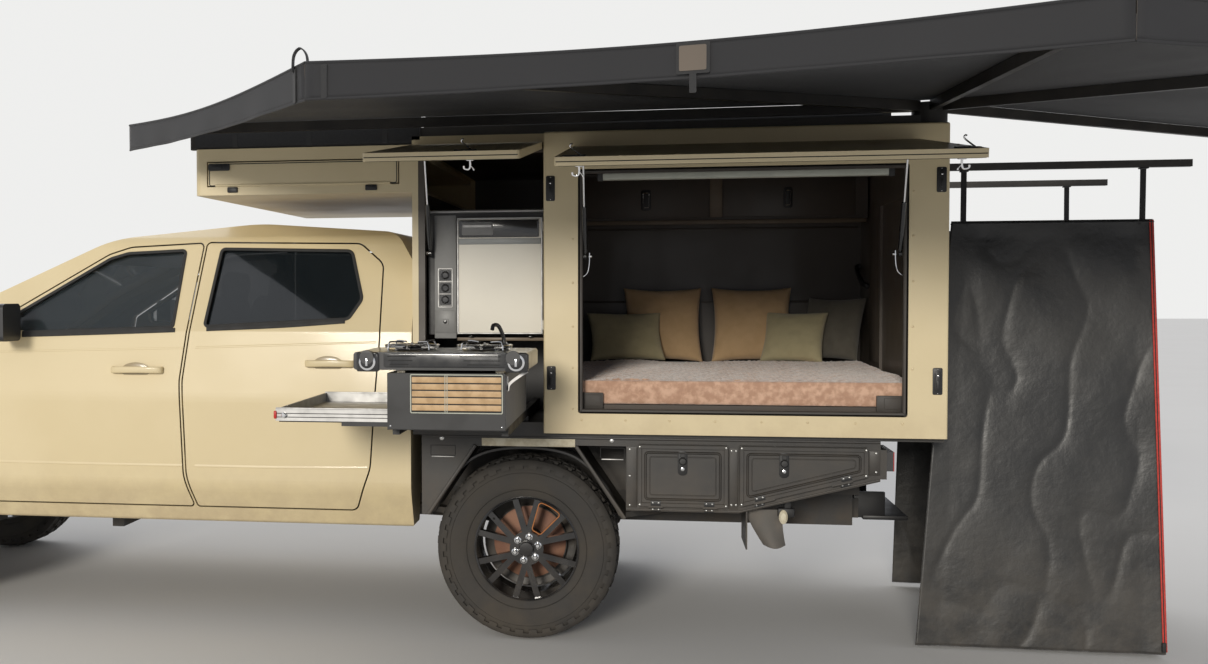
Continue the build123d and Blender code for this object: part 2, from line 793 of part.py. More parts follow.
for side_name, side in sides:
    for place, rows in box_doors:
        with BuildPart() as box_door:
            side_prism(rows, side, (toolbox_face + seat_clear, tray_half))
            side_prism(rows, side, (toolbox_face + 1, toolbox_face + 11), Mode.SUBTRACT, inset=12)
            # Hinge knuckles near both ends of the lower edge
            (left_x, left_z, _), (right_x, right_z, _) = rows[0], rows[-1]
            for share in (0.12, 0.72):
                ends = [(left_x + (right_x - left_x) * t, side * tray_half, left_z + (right_z - left_z) * t)
                        for t in (share, share + 0.16)]
                rod(*ends, knuckle_radius)
        pieces[f"box_door_{place}_{side_name}"] = box_door

# Wheel houses: sheet tunnels over the rear wheels, side plates with a flap, and mud flaps
arch_top = deck_under
arch_foot = 548
flap_x = 930
box_slope = (toolbox_rear_low - toolbox_low) / (tray_rear - slope_start)
flap_top = toolbox_low + box_slope * (flap_x - slope_start) - seat_clear
with BuildPart() as wheel_houses:
    for _, side in sides:
        side_prism([(-wheel_opening_foot, arch_foot, 1), (-wheel_opening_top, arch_top, 1),
                    (wheel_opening_top, arch_top, 1), (wheel_opening_foot, arch_foot, 1)],
                   side, (toolbox_inner + 5, tray_half - 20))
        side_prism([(-wheel_opening_foot + 9, arch_foot - 8, 1),
                    (-wheel_opening_top + 5, arch_top - arch_sheet, 1),
                    (wheel_opening_top - 5, arch_top - arch_sheet, 1),
                    (wheel_opening_foot - 9, arch_foot - 8, 1)],
                   side, (toolbox_inner, tray_half), Mode.SUBTRACT)
        side_prism([(tray_front, arch_foot, 1), (tray_front, arch_top, 1), (-wheel_opening_top, arch_top, 1),
                    (-wheel_opening_foot, arch_foot, 1)], side, (tray_half - 40, tray_half - 20))
        # Mud flap on its bracket behind the wheel
        side_block(side, (flap_x, flap_x + 6), (toolbox_inner + 90, tray_half - 30), (430, flap_top))
pieces["wheel_houses"] = wheel_houses

# Camper floor and walls
with BuildPart() as camper_floor:
    block((bay_front, -bay_half, deck_top), (camper_rear, bay_half, camper_floor_top))
pieces["camper_floor"] = camper_floor

wall_inner = main_half - side_wall
with BuildPart() as left_wall:
    block((main_front, -main_half, camper_bottom), (camper_rear, -wall_inner, camper_top))
    fillet(left_wall.edges().filter_by(Axis.Z).group_by(Axis.Y)[0], 8)
    fillet(left_wall.faces().sort_by(Axis.Z)[-1].edges().sort_by(Axis.Y)[0], 8)
    with BuildSketch(Plane.XZ.offset(main_half)):
        with Locations(((opening_front + opening_rear) / 2, (opening_low + opening_high) / 2)):
            RectangleRounded(opening_rear - opening_front, opening_high - opening_low, 12)
    extrude(amount=-side_wall, mode=Mode.SUBTRACT)
    # Pins that carry the struts' feet
    for jamb_x, foot_x in ((opening_front - 2, main_strut_x[0] - 6.3),
                           (opening_rear + 2, main_strut_x[1] + 6.3)):
        rod((jamb_x, *main_strut_foot), (foot_x, *main_strut_foot), 9)
pieces["left_wall"] = left_wall

with BuildPart() as right_wall:
    block((main_front, wall_inner, camper_bottom), (camper_rear, main_half, camper_top))
    fillet(right_wall.edges().filter_by(Axis.Z).group_by(Axis.Y)[-1], 8)
    fillet(right_wall.faces().sort_by(Axis.Z)[-1].edges().sort_by(Axis.Y)[-1], 8)
    with BuildSketch(Plane.XZ.offset(-main_half)):
        with Locations(((opening_front + opening_rear) / 2, (opening_low + opening_high) / 2)):
            RectangleRounded(opening_rear - opening_front, opening_high - opening_low, 12)
    extrude(amount=4, mode=Mode.SUBTRACT)
pieces["right_wall"] = right_wall

roof_under = camper_top - roof_thickness
with BuildPart() as rear_wall:
    block((camper_rear - 40, -wall_inner, camper_floor_top), (camper_rear, wall_inner, roof_under))
    block((camper_rear - 60, rear_door_left, rear_door_low),
          (camper_rear + 20, rear_door_right, rear_door_high), Mode.SUBTRACT)
    # Stop lip that the closed door rests on
    block((camper_rear - 50, rear_door_left - 20, rear_door_low - 20),
          (camper_rear - rear_door_depth - seat_clear, rear_door_right + 20, rear_door_high + 20))
    block((camper_rear - 60, rear_door_left + stop_lip, rear_door_low + stop_lip),
          (camper_rear - 30, rear_door_right - stop_lip, rear_door_high - stop_lip), Mode.SUBTRACT)
pieces["rear_wall"] = rear_wall

with BuildPart() as rear_door:
    block((camper_rear - rear_door_depth, rear_door_left + panel_gap, rear_door_low + panel_gap),
          (camper_rear, rear_door_right - panel_gap, rear_door_high - panel_gap))
    for knuckle_z in (rear_door_low + 90, rear_door_high - 170):
        rod((camper_rear, rear_door_right - panel_gap, knuckle_z),
            (camper_rear, rear_door_right - panel_gap, knuckle_z + 80), panel_gap - seat_clear)
pieces["rear_door"] = rear_door

with BuildPart() as front_walls:
    # Bulkhead behind the cab, below the sleeping nose
    block((bay_front, -bay_half, camper_floor_top), (bay_front + bay_wall, bay_half, luton_bottom))
    # Left corner post and right side panel of the kitchen bay
    block((bay_front, -bay_half, camper_floor_top), (bay_front + 56, -bay_half + bay_wall, roof_under))
    block((bay_front, bay_half - bay_wall, camper_floor_top), (main_front, bay_half, roof_under))
    block((bay_front, -bay_half, roof_under - 40), (main_front, -bay_half + bay_wall, roof_under))
    # Pin that carries the kitchen strut's foot
    rod((bay_front + 50, *kitchen_strut_foot), (kitchen_strut_x[0] - 6.3, *kitchen_strut_foot), 9)
pieces["front_walls"] = front_walls

with BuildPart() as camper_roof:
    block((bay_front, -bay_half, roof_under), (camper_rear, bay_half, camper_top))
pieces["camper_roof"] = camper_roof

luton_wall = 30
luton_opening = ((luton_front + 55, -546), (1992, 2105))
with BuildPart() as luton:
    block((luton_front, -bay_half, luton_bottom), (bay_front, bay_half, luton_top))
    fillet(luton.edges().filter_by(Axis.Z).group_by(Axis.X)[0], 25)
    block((luton_front + luton_wall, -bay_half + luton_wall, luton_bottom + luton_wall),
          (bay_front, bay_half - luton_wall, luton_top - luton_wall), Mode.SUBTRACT)
    (hatch_x0, hatch_x1), (hatch_z0, hatch_z1) = luton_opening
    block((hatch_x0, -bay_half - 10, hatch_z0), (hatch_x1, -bay_half + luton_wall + 10, hatch_z1),
          Mode.SUBTRACT)
pieces["luton"] = luton

with BuildPart() as luton_hatch:
    block((hatch_x0 + panel_gap, -bay_half, hatch_z0 + panel_gap),
          (hatch_x1 - panel_gap, -bay_half + 24, hatch_z1 - panel_gap))
    hinge_z = hatch_z0 + panel_gap
    rod((hatch_x0 + 40, -bay_half, hinge_z), (hatch_x1 - 40, -bay_half, hinge_z), panel_gap - seat_clear)
pieces["luton_hatch"] = luton_hatch


def hatch_plane(hinge_y, hinge_z):
    """The plane of an open hatch's inner face, its local -Y running from the hinge to the free edge."""
    swing = math.radians(hatch_open)
    outward = (0, -math.cos(swing), math.sin(swing))
    return Plane(origin=(0, hinge_y, hinge_z), x_dir=(1, 0, 0), z_dir=outward)


main_hinge_y = -main_half - hatch_gap
kitchen_hinge_y = -bay_half - hatch_gap

# Main hatch: skin with a raised rim on its inner face
main_hatch_x = (opening_front - 20, opening_rear + 35)
kitchen_hatch_x = (bay_front + 3, main_front - 7)
hatch_rim = 45


# Gas struts: tube pivoted on the frame, rod on the hatch
hatch_swing = math.radians(hatch_open)


def strut_line(foot, hinge_y, hinge_z):
    """The strut's foot, its head on the open hatch, its length and its direction, all in (y, z)."""
    head = (
        hinge_y - strut_reach * math.sin(hatch_swing) + strut_drop * math.cos(hatch_swing),
        hinge_z - strut_reach * math.cos(hatch_swing) - strut_drop * math.sin(hatch_swing),
    )
    run = math.dist(foot, head)
    return head, run, ((head[0] - foot[0]) / run, (head[1] - foot[1]) / run)


def hatch_panel(x_span, length, hinge_y, hinge_z, foot, strut_places):
    """A hatch as a flat panel whose inner face is sunk inside its rim."""
    middle = (x_span[0] + x_span[1]) / 2
    width = x_span[1] - x_span[0]
    with BuildPart() as panel:
        with BuildSketch(hatch_plane(hinge_y, hinge_z)) as outline:
            with Locations((middle, -length / 2 - 3)):
                RectangleRounded(width, length, 14)
        extrude(outline.sketch, amount=hatch_thickness)
        with BuildSketch(hatch_plane(hinge_y, hinge_z)) as recess:
            with Locations((middle, -length / 2 - 3)):
                RectangleRounded(width - 2 * hatch_rim, length - 2 * hatch_rim, 10)
        extrude(recess.sketch, amount=6, mode=Mode.SUBTRACT)
        # Hinge barrel along the upper edge
        rod((x_span[0] + 20, hinge_y, hinge_z), (x_span[1] - 20, hinge_y, hinge_z), hatch_gap - seat_clear)
        # Bracket beside each strut's eye
        (head_y, head_z), _, _ = strut_line(foot, hinge_y, hinge_z)
        for x, inward in strut_places:
            start_x = x + inward * (5 + seat_clear)
            rod((start_x, head_y, head_z), (x + inward * 18, head_y, head_z), 6)
            with BuildSketch(hatch_plane(hinge_y, hinge_z)) as pad:
                with Locations((x + inward * 12, -strut_reach)):
                    Rectangle(12, 24)
            extrude(pad.sketch, amount=-strut_drop)
            extrude(pad.sketch, amount=hatch_thickness / 2)
    return panel


def build_struts(x_places, foot, hinge_y, hinge_z):
    """Tubes and rods of the struts at each x, as two parts."""
    head, run, way = strut_line(foot, hinge_y, hinge_z)

    def at(x, reach):
        return (x, foot[0] + way[0] * reach, foot[1] + way[1] * reach)

    with BuildPart() as tubes:
        for x in x_places:
            rod(at(x, 8), at(x, 24), 5.5)
            rod(at(x, 20), at(x, tube_length), tube_radius)
            rod((x - 6, *foot), (x + 6, *foot), 13)
            rod(at(x, 22), at(x, tube_length + 2), strut_rod_radius + 0.6, Mode.SUBTRACT)
    with BuildPart() as rods:
        for x in x_places:
            rod(at(x, tube_length - 3), at(x, run - 4), strut_rod_radius)
            rod((x - 5, *head), (x + 5, *head), 8)
    return tubes, rods


pieces["main_hatch"] = hatch_panel(
    main_hatch_x, main_hatch_length, main_hinge_y, main_hinge_z, main_strut_foot,
    [(main_strut_x[0], 1), (main_strut_x[1], -1)])
pieces["kitchen_hatch"] = hatch_panel(
    kitchen_hatch_x, kitchen_hatch_length, kitchen_hinge_y, kitchen_hinge_z, kitchen_strut_foot,
    [(kitchen_strut_x[0], 1)])
main_struts = build_struts(main_strut_x, main_strut_foot, main_hinge_y, main_hinge_z)
kitchen_strut = build_struts(kitchen_strut_x, kitchen_strut_foot, kitchen_hinge_y, kitchen_hinge_z)
pieces["strut_tubes"], pieces["strut_rods"] = main_struts
pieces["kitchen_strut_tube"], pieces["kitchen_strut_rod"] = kitchen_strut

# Furniture: bed base, lockers over it, bulkhead and the kitchen cabinet round the fridge
fridge_x = (-298, 74)
fridge_z = (1338, 1842)
cabinet_front_y = 65 - bay_half
bed_base_top = 1040
furniture_rear = camper_rear - 51
with BuildPart() as furniture:
    block((main_front + 45, -wall_inner + 5, camper_floor_top),
          (furniture_rear, wall_inner - 5, bed_base_top))
    block((main_front + 45, wall_inner - 300, 1900), (furniture_rear, wall_inner - 5, roof_under))
    block((main_front, -wall_inner + 5, camper_floor_top), (main_front + 30, wall_inner - 5, roof_under))
    block((main_front - 5, 150, 1060), (main_front + 40, wall_inner - 200, 1860), Mode.SUBTRACT)
    block((bay_front + 60, cabinet_front_y, fridge_z[0] - 3), (main_front, -330, 1866))
    block((fridge_x[0] + 18, cabinet_front_y - 10, fridge_z[0] + 18),
          (fridge_x[1] - 18, -380, fridge_z[1] - 18), Mode.SUBTRACT)
    block((bay_front + bay_wall, -330, camper_floor_top), (main_front, -300, 1866))
pieces["furniture"] = furniture

with BuildPart() as fridge_door:
    block((fridge_x[0], cabinet_front_y - 30, fridge_z[0]),
          (fridge_x[1], cabinet_front_y - seat_clear, fridge_z[1]))
    fillet(fridge_door.edges().filter_by(Axis.Z).group_by(Axis.X)[0], 6)
    for pin_z in (fridge_z[0] + 20, fridge_z[1] - 60):
        rod((fridge_x[1], cabinet_front_y - 30, pin_z), (fridge_x[1], cabinet_front_y - 30, pin_z + 40),
            knuckle_radius)
pieces["fridge_door"] = fridge_door

mattress_top = 1135
with BuildPart() as cushions:
    block((main_front + 60, -wall_inner + 15, bed_base_top + 0.3),
          (camper_rear - 60, wall_inner - 20, mattress_top))
    # Pillows along the far side: centre x, width
    for pillow_x, pillow_width in ((380, 330), (760, 380), (1150, 380), (1480, 260)):
        with Locations(Location((pillow_x, wall_inner - 140, mattress_top + 155), (22, 0, 0))):
            Box(pillow_width, 130, 290)
pieces["cushions"] = cushions

# Kitchen: pulled-out box with a window, its runners, side tray and hob
box_rear_y = kitchen_front_y + kitchen_box_depth
box_x1 = kitchen_box_x + kitchen_box_width
box_sheet = 10
with BuildPart() as kitchen_box:
    block((kitchen_box_x, kitchen_front_y, kitchen_box_low), (box_x1, box_rear_y, kitchen_box_high))
    block((kitchen_box_x + box_sheet, kitchen_front_y + box_sheet, kitchen_box_low + box_sheet),
          (box_x1 - box_sheet, box_rear_y - box_sheet, kitchen_box_high - box_sheet), Mode.SUBTRACT)
    # Window in the front, tray way in the left side
    block((-336, kitchen_front_y - 5, 1080), (-3, kitchen_front_y + box_sheet + 5, 1205), Mode.SUBTRACT)
    block((kitchen_box_x - 5, kitchen_front_y + 14, kitchen_box_low + 24),
          (kitchen_box_x + box_sheet + 5, box_rear_y - 14, 1110), Mode.SUBTRACT)
    for rail_y in (kitchen_front_y + 22, box_rear_y - 42):
        block((kitchen_box_x - 180, rail_y, kitchen_box_low + box_sheet - 2),
              (box_x1 - box_sheet, rail_y + 20, kitchen_box_low + 25))
    for runner_x in (kitchen_box_x, box_x1 - 26):
        block((runner_x, kitchen_front_y + 100, camper_floor_top + 24),
              (runner_x + 26, -335, kitchen_box_low))
        block((runner_x, 50 - bay_half, camper_floor_top), (runner_x + 26, -335, camper_floor_top + 30))
pieces["kitchen_box"] = kitchen_box

tray_low = kitchen_box_low + 25.3
with BuildPart() as side_tray:
    block((kitchen_box_x - tray_reach, kitchen_front_y + 20, tray_low),
          (kitchen_box_x + 6, box_rear_y - 20, tray_low + 45))
    block((kitchen_box_x - tray_reach + 8, kitchen_front_y + 28, tray_low + 8),
          (kitchen_box_x, box_rear_y - 28, tray_low + 60), Mode.SUBTRACT)
pieces["side_tray"] = side_tray

with BuildPart() as hob:
    block((-555, kitchen_front_y - 10, hob_low), (96, kitchen_front_y + 370, hob_high - 20))
    fillet(hob.edges().filter_by(Axis.Y), 12)
    for foot_x in (-400, -30):
        block((foot_x, kitchen_front_y + 40, kitchen_box_high),
              (foot_x + 30, kitchen_front_y + 330, hob_low + 5))
    for burner_x in (-370, -90):
        with Locations((burner_x, kitchen_front_y + 190, hob_high - 18)):
            Cylinder(62, 10)
        for ring in (0, 90):
            with Locations(Location((burner_x, kitchen_front_y + 190, hob_high - 6), (0, 0, ring))):
                Box(210, 8, 14)
                Box(8, 8, 28)
    for knob_x in (-500, 41):
        across((knob_x, kitchen_front_y - 22, 1284), 26, 26)
pieces["hob"] = hob

# Awning: pivot bracket, long bag on the roof's side and five arms; tips as (x, y, z)
arm_tips = [
    (-1730, -1062, 2255),
    (-483, -2720, 2205),
    (1630, -3250, 2205),
    (3330, -2560, 2210),
    (3900, 450, 2225),
]
pivot_x, pivot_y, pivot_z = awning_pivot


def arm_plane(tip):
    """The plane across an arm at the pivot, its normal toward the tip."""
    way = Vector(*tip) - Vector(*awning_pivot)
    level = Vector(-way.Y, way.X, 0)
    return Plane(origin=awning_pivot, x_dir=level, z_dir=way)


with BuildPart() as roof_bars:
    for tip in arm_tips:
        way = Vector(*tip) - Vector(*awning_pivot)
        below = 1 if arm_plane(tip).y_dir.Z < 0 else -1
        with BuildSketch(arm_plane(tip).offset(pivot_radius + seat_clear)):
            with Locations((0, below * (arm_height / 2 + 0.5))):
                Rectangle(arm_width, arm_height)
        extrude(amount=way.length - pivot_radius - seat_clear - arm_back)
    with BuildSketch(Plane.XY.offset(camper_top)):
        with Locations((pivot_x, pivot_y)):
            Circle(pivot_radius)
    extrude(amount=pivot_z - camper_top - 8)
    # Mounting beam along the left roof edge and the packed bag's board
    beam_y = (15 - bay_half, 45 - bay_half)
    block((luton_front - 25, beam_y[0], luton_top), (bay_front - 5, beam_y[1], luton_top + 50))
    block((bay_front - 10, beam_y[0], camper_top), (pivot_x, beam_y[1], camper_top + 40))
    block((luton_front - 25, beam_y[0], luton_top + 35), (bay_front + 10, beam_y[1], camper_top + 40))
    # Shower rails from the rear wall
    for rail_y in (shower_near_y, shower_far_y):
        block((camper_rear, rail_y - 15, shower_bar_z - 15), (shower_rear, rail_y + 15, shower_bar_z + 15))
pieces["roof_bars"] = roof_bars

with BuildPart() as awning_fabric:
    for first, second in zip(arm_tips, arm_tips[1:]):
        sheet = Face(Wire.make_polygon([awning_pivot, first, second], close=True))
        extrude(sheet, amount=awning_sheet, dir=(0, 0, 1))
        hang = Face(Wire.make_polygon([
            first, second,
            (second[0], second[1], second[2] - valance_height),
            (first[0], first[1], first[2] - valance_height),
        ], close=True))
        along = Vector(*second) - Vector(*first)
        outward = Vector(along.Y, -along.X, 0).normalized()
        if outward.dot(Vector(*first) - Vector(*awning_pivot)) < 0:
            outward = outward * -1
        extrude(hang, amount=awning_sheet, dir=outward)
pieces["awning_fabric"] = awning_fabric

# Shower cubicle: three cloth walls hung by straps from the two rails; top and bottom outlines
shower_top = 1815
shower_foot = 18
near_bottom_y = -790
with BuildPart() as shower_curtain:
    top_rows = [(1800, shower_near_y), (2600, shower_near_y), (2600, shower_far_y), (1800, shower_far_y)]
    foot_rows = [(1640, near_bottom_y), (2625, near_bottom_y), (2625, shower_far_y + 60),
                 (1760, shower_far_y + 60)]
    for shrink, mode in ((0, Mode.ADD), (shower_cloth, Mode.SUBTRACT)):
        # The hollow runs out through the cubicle's open front
        front_reach = -60 if shrink else 0
        for height, rows in ((shower_foot, foot_rows), (shower_top, top_rows)):
            ways = ((front_reach, shrink), (-shrink, shrink), (-shrink, -shrink), (front_reach, -shrink))
            with BuildSketch(Plane.XY.offset(height)):
                with BuildLine():
                    Polyline(*[(x + dx, y + dy) for (x, y), (dx, dy) in zip(rows, ways)], close=True)
                make_face()
        loft(mode=mode)
    for strap_x in (2560, 1850):
        for strap_y, inward in ((shower_near_y, 7), (shower_far_y, -7)):
            block((strap_x - 12, strap_y + inward - 2, shower_top - 5),
                  (strap_x + 12, strap_y + inward + 2, shower_bar_z - 15.3))
pieces["shower_curtain"] = shower_curtain

for label, piece in pieces.items():
    placed = piece.part.moved(Location((ground_shift_x, ground_shift_y, 0)))
    placed.label = label
    export_step(placed, f"parts/{label}.step")
print(len(pieces), "pieces written")
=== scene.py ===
import json
import math

import bmesh
import bpy
import numpy as np
from mathutils import Matrix

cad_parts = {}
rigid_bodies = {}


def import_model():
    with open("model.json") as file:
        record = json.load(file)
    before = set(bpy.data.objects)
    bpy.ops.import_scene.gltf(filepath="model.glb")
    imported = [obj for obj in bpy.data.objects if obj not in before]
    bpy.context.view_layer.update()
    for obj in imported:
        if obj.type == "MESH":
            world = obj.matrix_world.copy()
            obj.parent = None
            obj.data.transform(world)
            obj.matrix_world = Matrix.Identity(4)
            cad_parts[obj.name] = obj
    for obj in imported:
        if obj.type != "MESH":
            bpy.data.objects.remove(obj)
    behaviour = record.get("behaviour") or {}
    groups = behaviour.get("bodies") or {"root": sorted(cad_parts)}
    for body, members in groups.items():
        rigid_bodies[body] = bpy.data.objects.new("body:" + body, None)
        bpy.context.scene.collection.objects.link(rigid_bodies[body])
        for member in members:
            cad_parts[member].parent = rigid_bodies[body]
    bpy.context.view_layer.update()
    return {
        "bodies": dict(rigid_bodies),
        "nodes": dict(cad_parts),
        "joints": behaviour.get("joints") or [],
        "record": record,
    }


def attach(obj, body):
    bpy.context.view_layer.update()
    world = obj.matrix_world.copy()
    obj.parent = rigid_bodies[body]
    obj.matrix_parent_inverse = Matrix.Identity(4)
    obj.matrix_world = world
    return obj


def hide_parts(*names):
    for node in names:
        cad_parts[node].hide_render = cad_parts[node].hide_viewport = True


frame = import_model()
nodes = frame["nodes"]
scene = bpy.context.scene
print("frame loaded:", len(nodes), "nodes")

# Places are measured from the rear axle's foot: X rearward, Y to the right, Z up, in metres.
# The row's own origin is this far from it.
axleFoot = np.array([0.128, 1.077, 0.0])
sides = [("left", -1), ("right", 1)]


# A shape is (points, list of face arrays, uv or None).

def unit(v):
    return v / np.linalg.norm(v, axis=-1, keepdims=True)


def gridShape(points, roundRows=False, roundCols=False, uv=None):
    # quads between neighbouring rows and columns of a grid of points, wrapped where it is round
    rows, cols = points.shape[:2]
    r = np.arange(rows if roundRows else rows - 1)[:, None]
    c = np.arange(cols if roundCols else cols - 1)[None, :]
    a = r * cols + c
    b = r * cols + (c + 1) % cols
    d = ((r + 1) % rows) * cols + c
    e = ((r + 1) % rows) * cols + (c + 1) % cols
    quads = np.stack([a, b, e, d], -1).reshape(-1, 4)
    return points.reshape(-1, 3), [quads], None if uv is None else uv.reshape(-1, 2)


def capped(shape, cols):
    # closes the first and the last ring of a wrapped grid with one face each
    points, faces, uv = shape
    first = np.arange(cols)[::-1].reshape(1, -1)
    last = (len(points) - cols + np.arange(cols)).reshape(1, -1)
    return points, faces + [first, last], uv


def joined(shapes):
    points, faces, uvs, start = [], [], [], 0
    for p, f, uv in shapes:
        points.append(p)
        faces += [a + start for a in f]
        uvs.append(np.zeros((len(p), 2)) if uv is None else uv)
        start += len(p)
    return np.concatenate(points), faces, np.concatenate(uvs)


def repeated(shape, places):
    # the same shape at many places
    p, f, uv = shape
    points = (p[None] + places[:, None]).reshape(-1, 3)
    shift = (np.arange(len(places)) * len(p))[:, None, None]
    return points, [(a[None] + shift).reshape(-1, a.shape[1]) for a in f], uv


def moved(shape, matrix, offset):
    return shape[0] @ np.asarray(matrix, float).T + np.asarray(offset), shape[1], shape[2]


def turn(axis, degrees):
    return np.array(Matrix.Rotation(math.radians(degrees), 3, axis))


def circle(radius, count=12):
    a = np.arange(count) * 2 * np.pi / count
    return np.stack([radius * np.cos(a), radius * np.sin(a)], -1)


def slab(width, height, radius, steps):
    # a rectangle with round corners: each corner is a quarter circle about its own centre
    radius = min(radius, width / 2 - 1e-5, height / 2 - 1e-5)
    a = np.linspace(0, np.pi / 2, steps)[None, :] + (np.arange(4) * np.pi / 2)[:, None]
    cx = np.array([1, -1, -1, 1])[:, None] * (width / 2 - radius)
    cy = np.array([1, 1, -1, -1])[:, None] * (height / 2 - radius)
    return np.stack([cx + radius * np.cos(a), cy + radius * np.sin(a)], -1).reshape(-1, 2)


def carried(profile, path, up=(0, 0, 1), closed=False, widths=None):
    # a point is path + across * x + over * y, where across = way x up and over = across x way
    path = np.asarray(path, float)
    way = np.roll(path, -1, 0) - np.roll(path, 1, 0) if closed else np.gradient(path, axis=0)
    way = unit(way)
    across = unit(np.cross(way, np.broadcast_to(np.asarray(up, float), way.shape)))
    over = np.cross(across, way)
    size = np.ones(len(path)) if widths is None else np.asarray(widths)
    flat = size[:, None, None] * profile[None]
    points = path[:, None] + flat[..., :1] * across[:, None] + flat[..., 1:] * over[:, None]
    shape = gridShape(points, roundRows=closed, roundCols=True)
    return shape if closed else capped(shape, len(profile))


def smoothLine(corners, count=40):
    # Catmull-Rom: each span is a cubic through its two ends, with slopes from the neighbours
    p = np.asarray(corners, float)
    p = np.concatenate([2 * p[:1] - p[1:2], p, 2 * p[-1:] - p[-2:-1]])
    t = np.linspace(0, len(p) - 3 - 1e-9, count)
    i = t.astype(int)
    f = (t - i)[:, None]
    a, b, c, d = p[i], p[i + 1], p[i + 2], p[i + 3]
    return 0.5 * (2 * b + (c - a) * f + (2 * a - 5 * b + 4 * c - d) * f ** 2 + (3 * b - a - 3 * c + d) * f ** 3)


def roundedRing(rows, steps=5):
    # rows of (a, b, corner radius) as a closed line whose corners are arcs tangent to both runs
    p = np.array([r[:2] for r in rows], float)
    radius = np.array([r[2] for r in rows], float)[:, None]
    back, ahead = unit(np.roll(p, 1, 0) - p), unit(np.roll(p, -1, 0) - p)
    half = np.arccos(np.clip((back * ahead).sum(-1), -1, 1))[:, None] / 2
    reach = radius / np.tan(half)
    start, end = p + back * reach, p + ahead * reach
    middle = p + unit(back + ahead) * radius / np.sin(half)
    t = np.linspace(0, 1, steps)[None, :, None]
    arc = unit((start - middle)[:, None] * (1 - t) + (end - middle)[:, None] * t)
    return (middle[:, None] + arc * radius[:, None]).reshape(-1, 2)


def turned(profile, centre, axis=(0, 1, 0), count=32, closed=False):
    # profile rows of (radius, height along the axis), turned round it
    axis = unit(np.asarray(axis, float))
    side = unit(np.cross(axis, [0.0, 0.0, 1.0] if abs(axis[2]) < 0.9 else [1.0, 0.0, 0.0]))
    other = np.cross(axis, side)
    a = np.arange(count) * 2 * np.pi / count
    ring = np.cos(a)[:, None] * side + np.sin(a)[:, None] * other
    profile = np.asarray(profile, float)
    points = np.asarray(centre) + profile[:, :1, None] * ring[None] + profile[:, 1:, None] * axis
    shape = gridShape(points, roundRows=closed, roundCols=True)
    return shape if closed else capped(shape, count)


def block(low, high, radius=0.004, steps=3):
    # stacked rounded rectangles that grow from the bottom edge and shrink at the top one
    low, high = np.minimum(low, high).astype(float), np.maximum(low, high).astype(float)
    size, middle = high - low, (low + high) / 2
    radius = min(radius, size.min() / 2 - 1e-5)
    t = np.linspace(0, np.pi / 2, steps)
    inset = radius * (1 - np.sin(t))
    level = radius * (1 - np.cos(t)) - size[2] / 2
    inset, level = np.concatenate([inset, inset[::-1]]), np.concatenate([level, -level[::-1]])
    a = np.linspace(0, np.pi / 2, steps)[None, :] + (np.arange(4) * np.pi / 2)[:, None]
    cx = (np.array([1, -1, -1, 1])[:, None] * (size[0] / 2 - radius)).repeat(steps, 1).ravel()
    cy = (np.array([1, 1, -1, -1])[:, None] * (size[1] / 2 - radius)).repeat(steps, 1).ravel()
    a = a.ravel()
    reach = (radius - inset)[:, None]
    points = np.stack([cx + reach * np.cos(a), cy + reach * np.sin(a),
                       np.broadcast_to(level[:, None], (2 * steps, 4 * steps))], -1)
    return capped(gridShape(points + middle, roundCols=True), 4 * steps)


def puff(centre, half, power, rows, cols, tilt=None):
    # superellipsoid: each of x, y, z is a sine or cosine raised to a power and scaled
    u = np.linspace(-np.pi / 2 + 0.02, np.pi / 2 - 0.02, rows)[:, None]
    v = (np.arange(cols) * 2 * np.pi / cols)[None, :]
    raised = lambda w: np.sign(w) * np.abs(w) ** power
    p = np.stack([raised(np.cos(u)) * raised(np.cos(v)), raised(np.cos(u)) * raised(np.sin(v)),
                  raised(np.sin(u)) * np.ones_like(v)], -1) * np.asarray(half)
    if tilt is not None:
        p = p @ np.asarray(tilt).T
    return capped(gridShape(p + np.asarray(centre), roundCols=True), cols)


def ripple(points, scale, seed, waves=7):
    # a sum of sine waves of fixed random directions, from about -1 to 1
    rng = np.random.default_rng(seed)
    ways = unit(rng.normal(size=(waves, points.shape[-1])))
    total = np.zeros(points.shape[:-1])
    for k, way in enumerate(ways):
        total += np.sin((points @ way) * scale * (1 + 0.37 * k) + rng.uniform(0, 6.3)) / (1 + 0.4 * k)
    return total / 2.6


def domes(places, normal, radius, height):
    # a low cap of three rings, the same at each place
    cap = turned([(radius, 0), (radius * 0.86, height * 0.55), (radius * 0.4, height)], (0, 0, 0), normal, 8)
    return repeated(cap, places)


def rowBetween(start, end, pitch):
    # evenly spread places from one end to the other, about a pitch apart
    start, end = np.asarray(start, float), np.asarray(end, float)
    count = max(2, int(round(np.linalg.norm(end - start) / pitch)) + 1)
    return start + (end - start) * np.linspace(0, 1, count)[:, None]


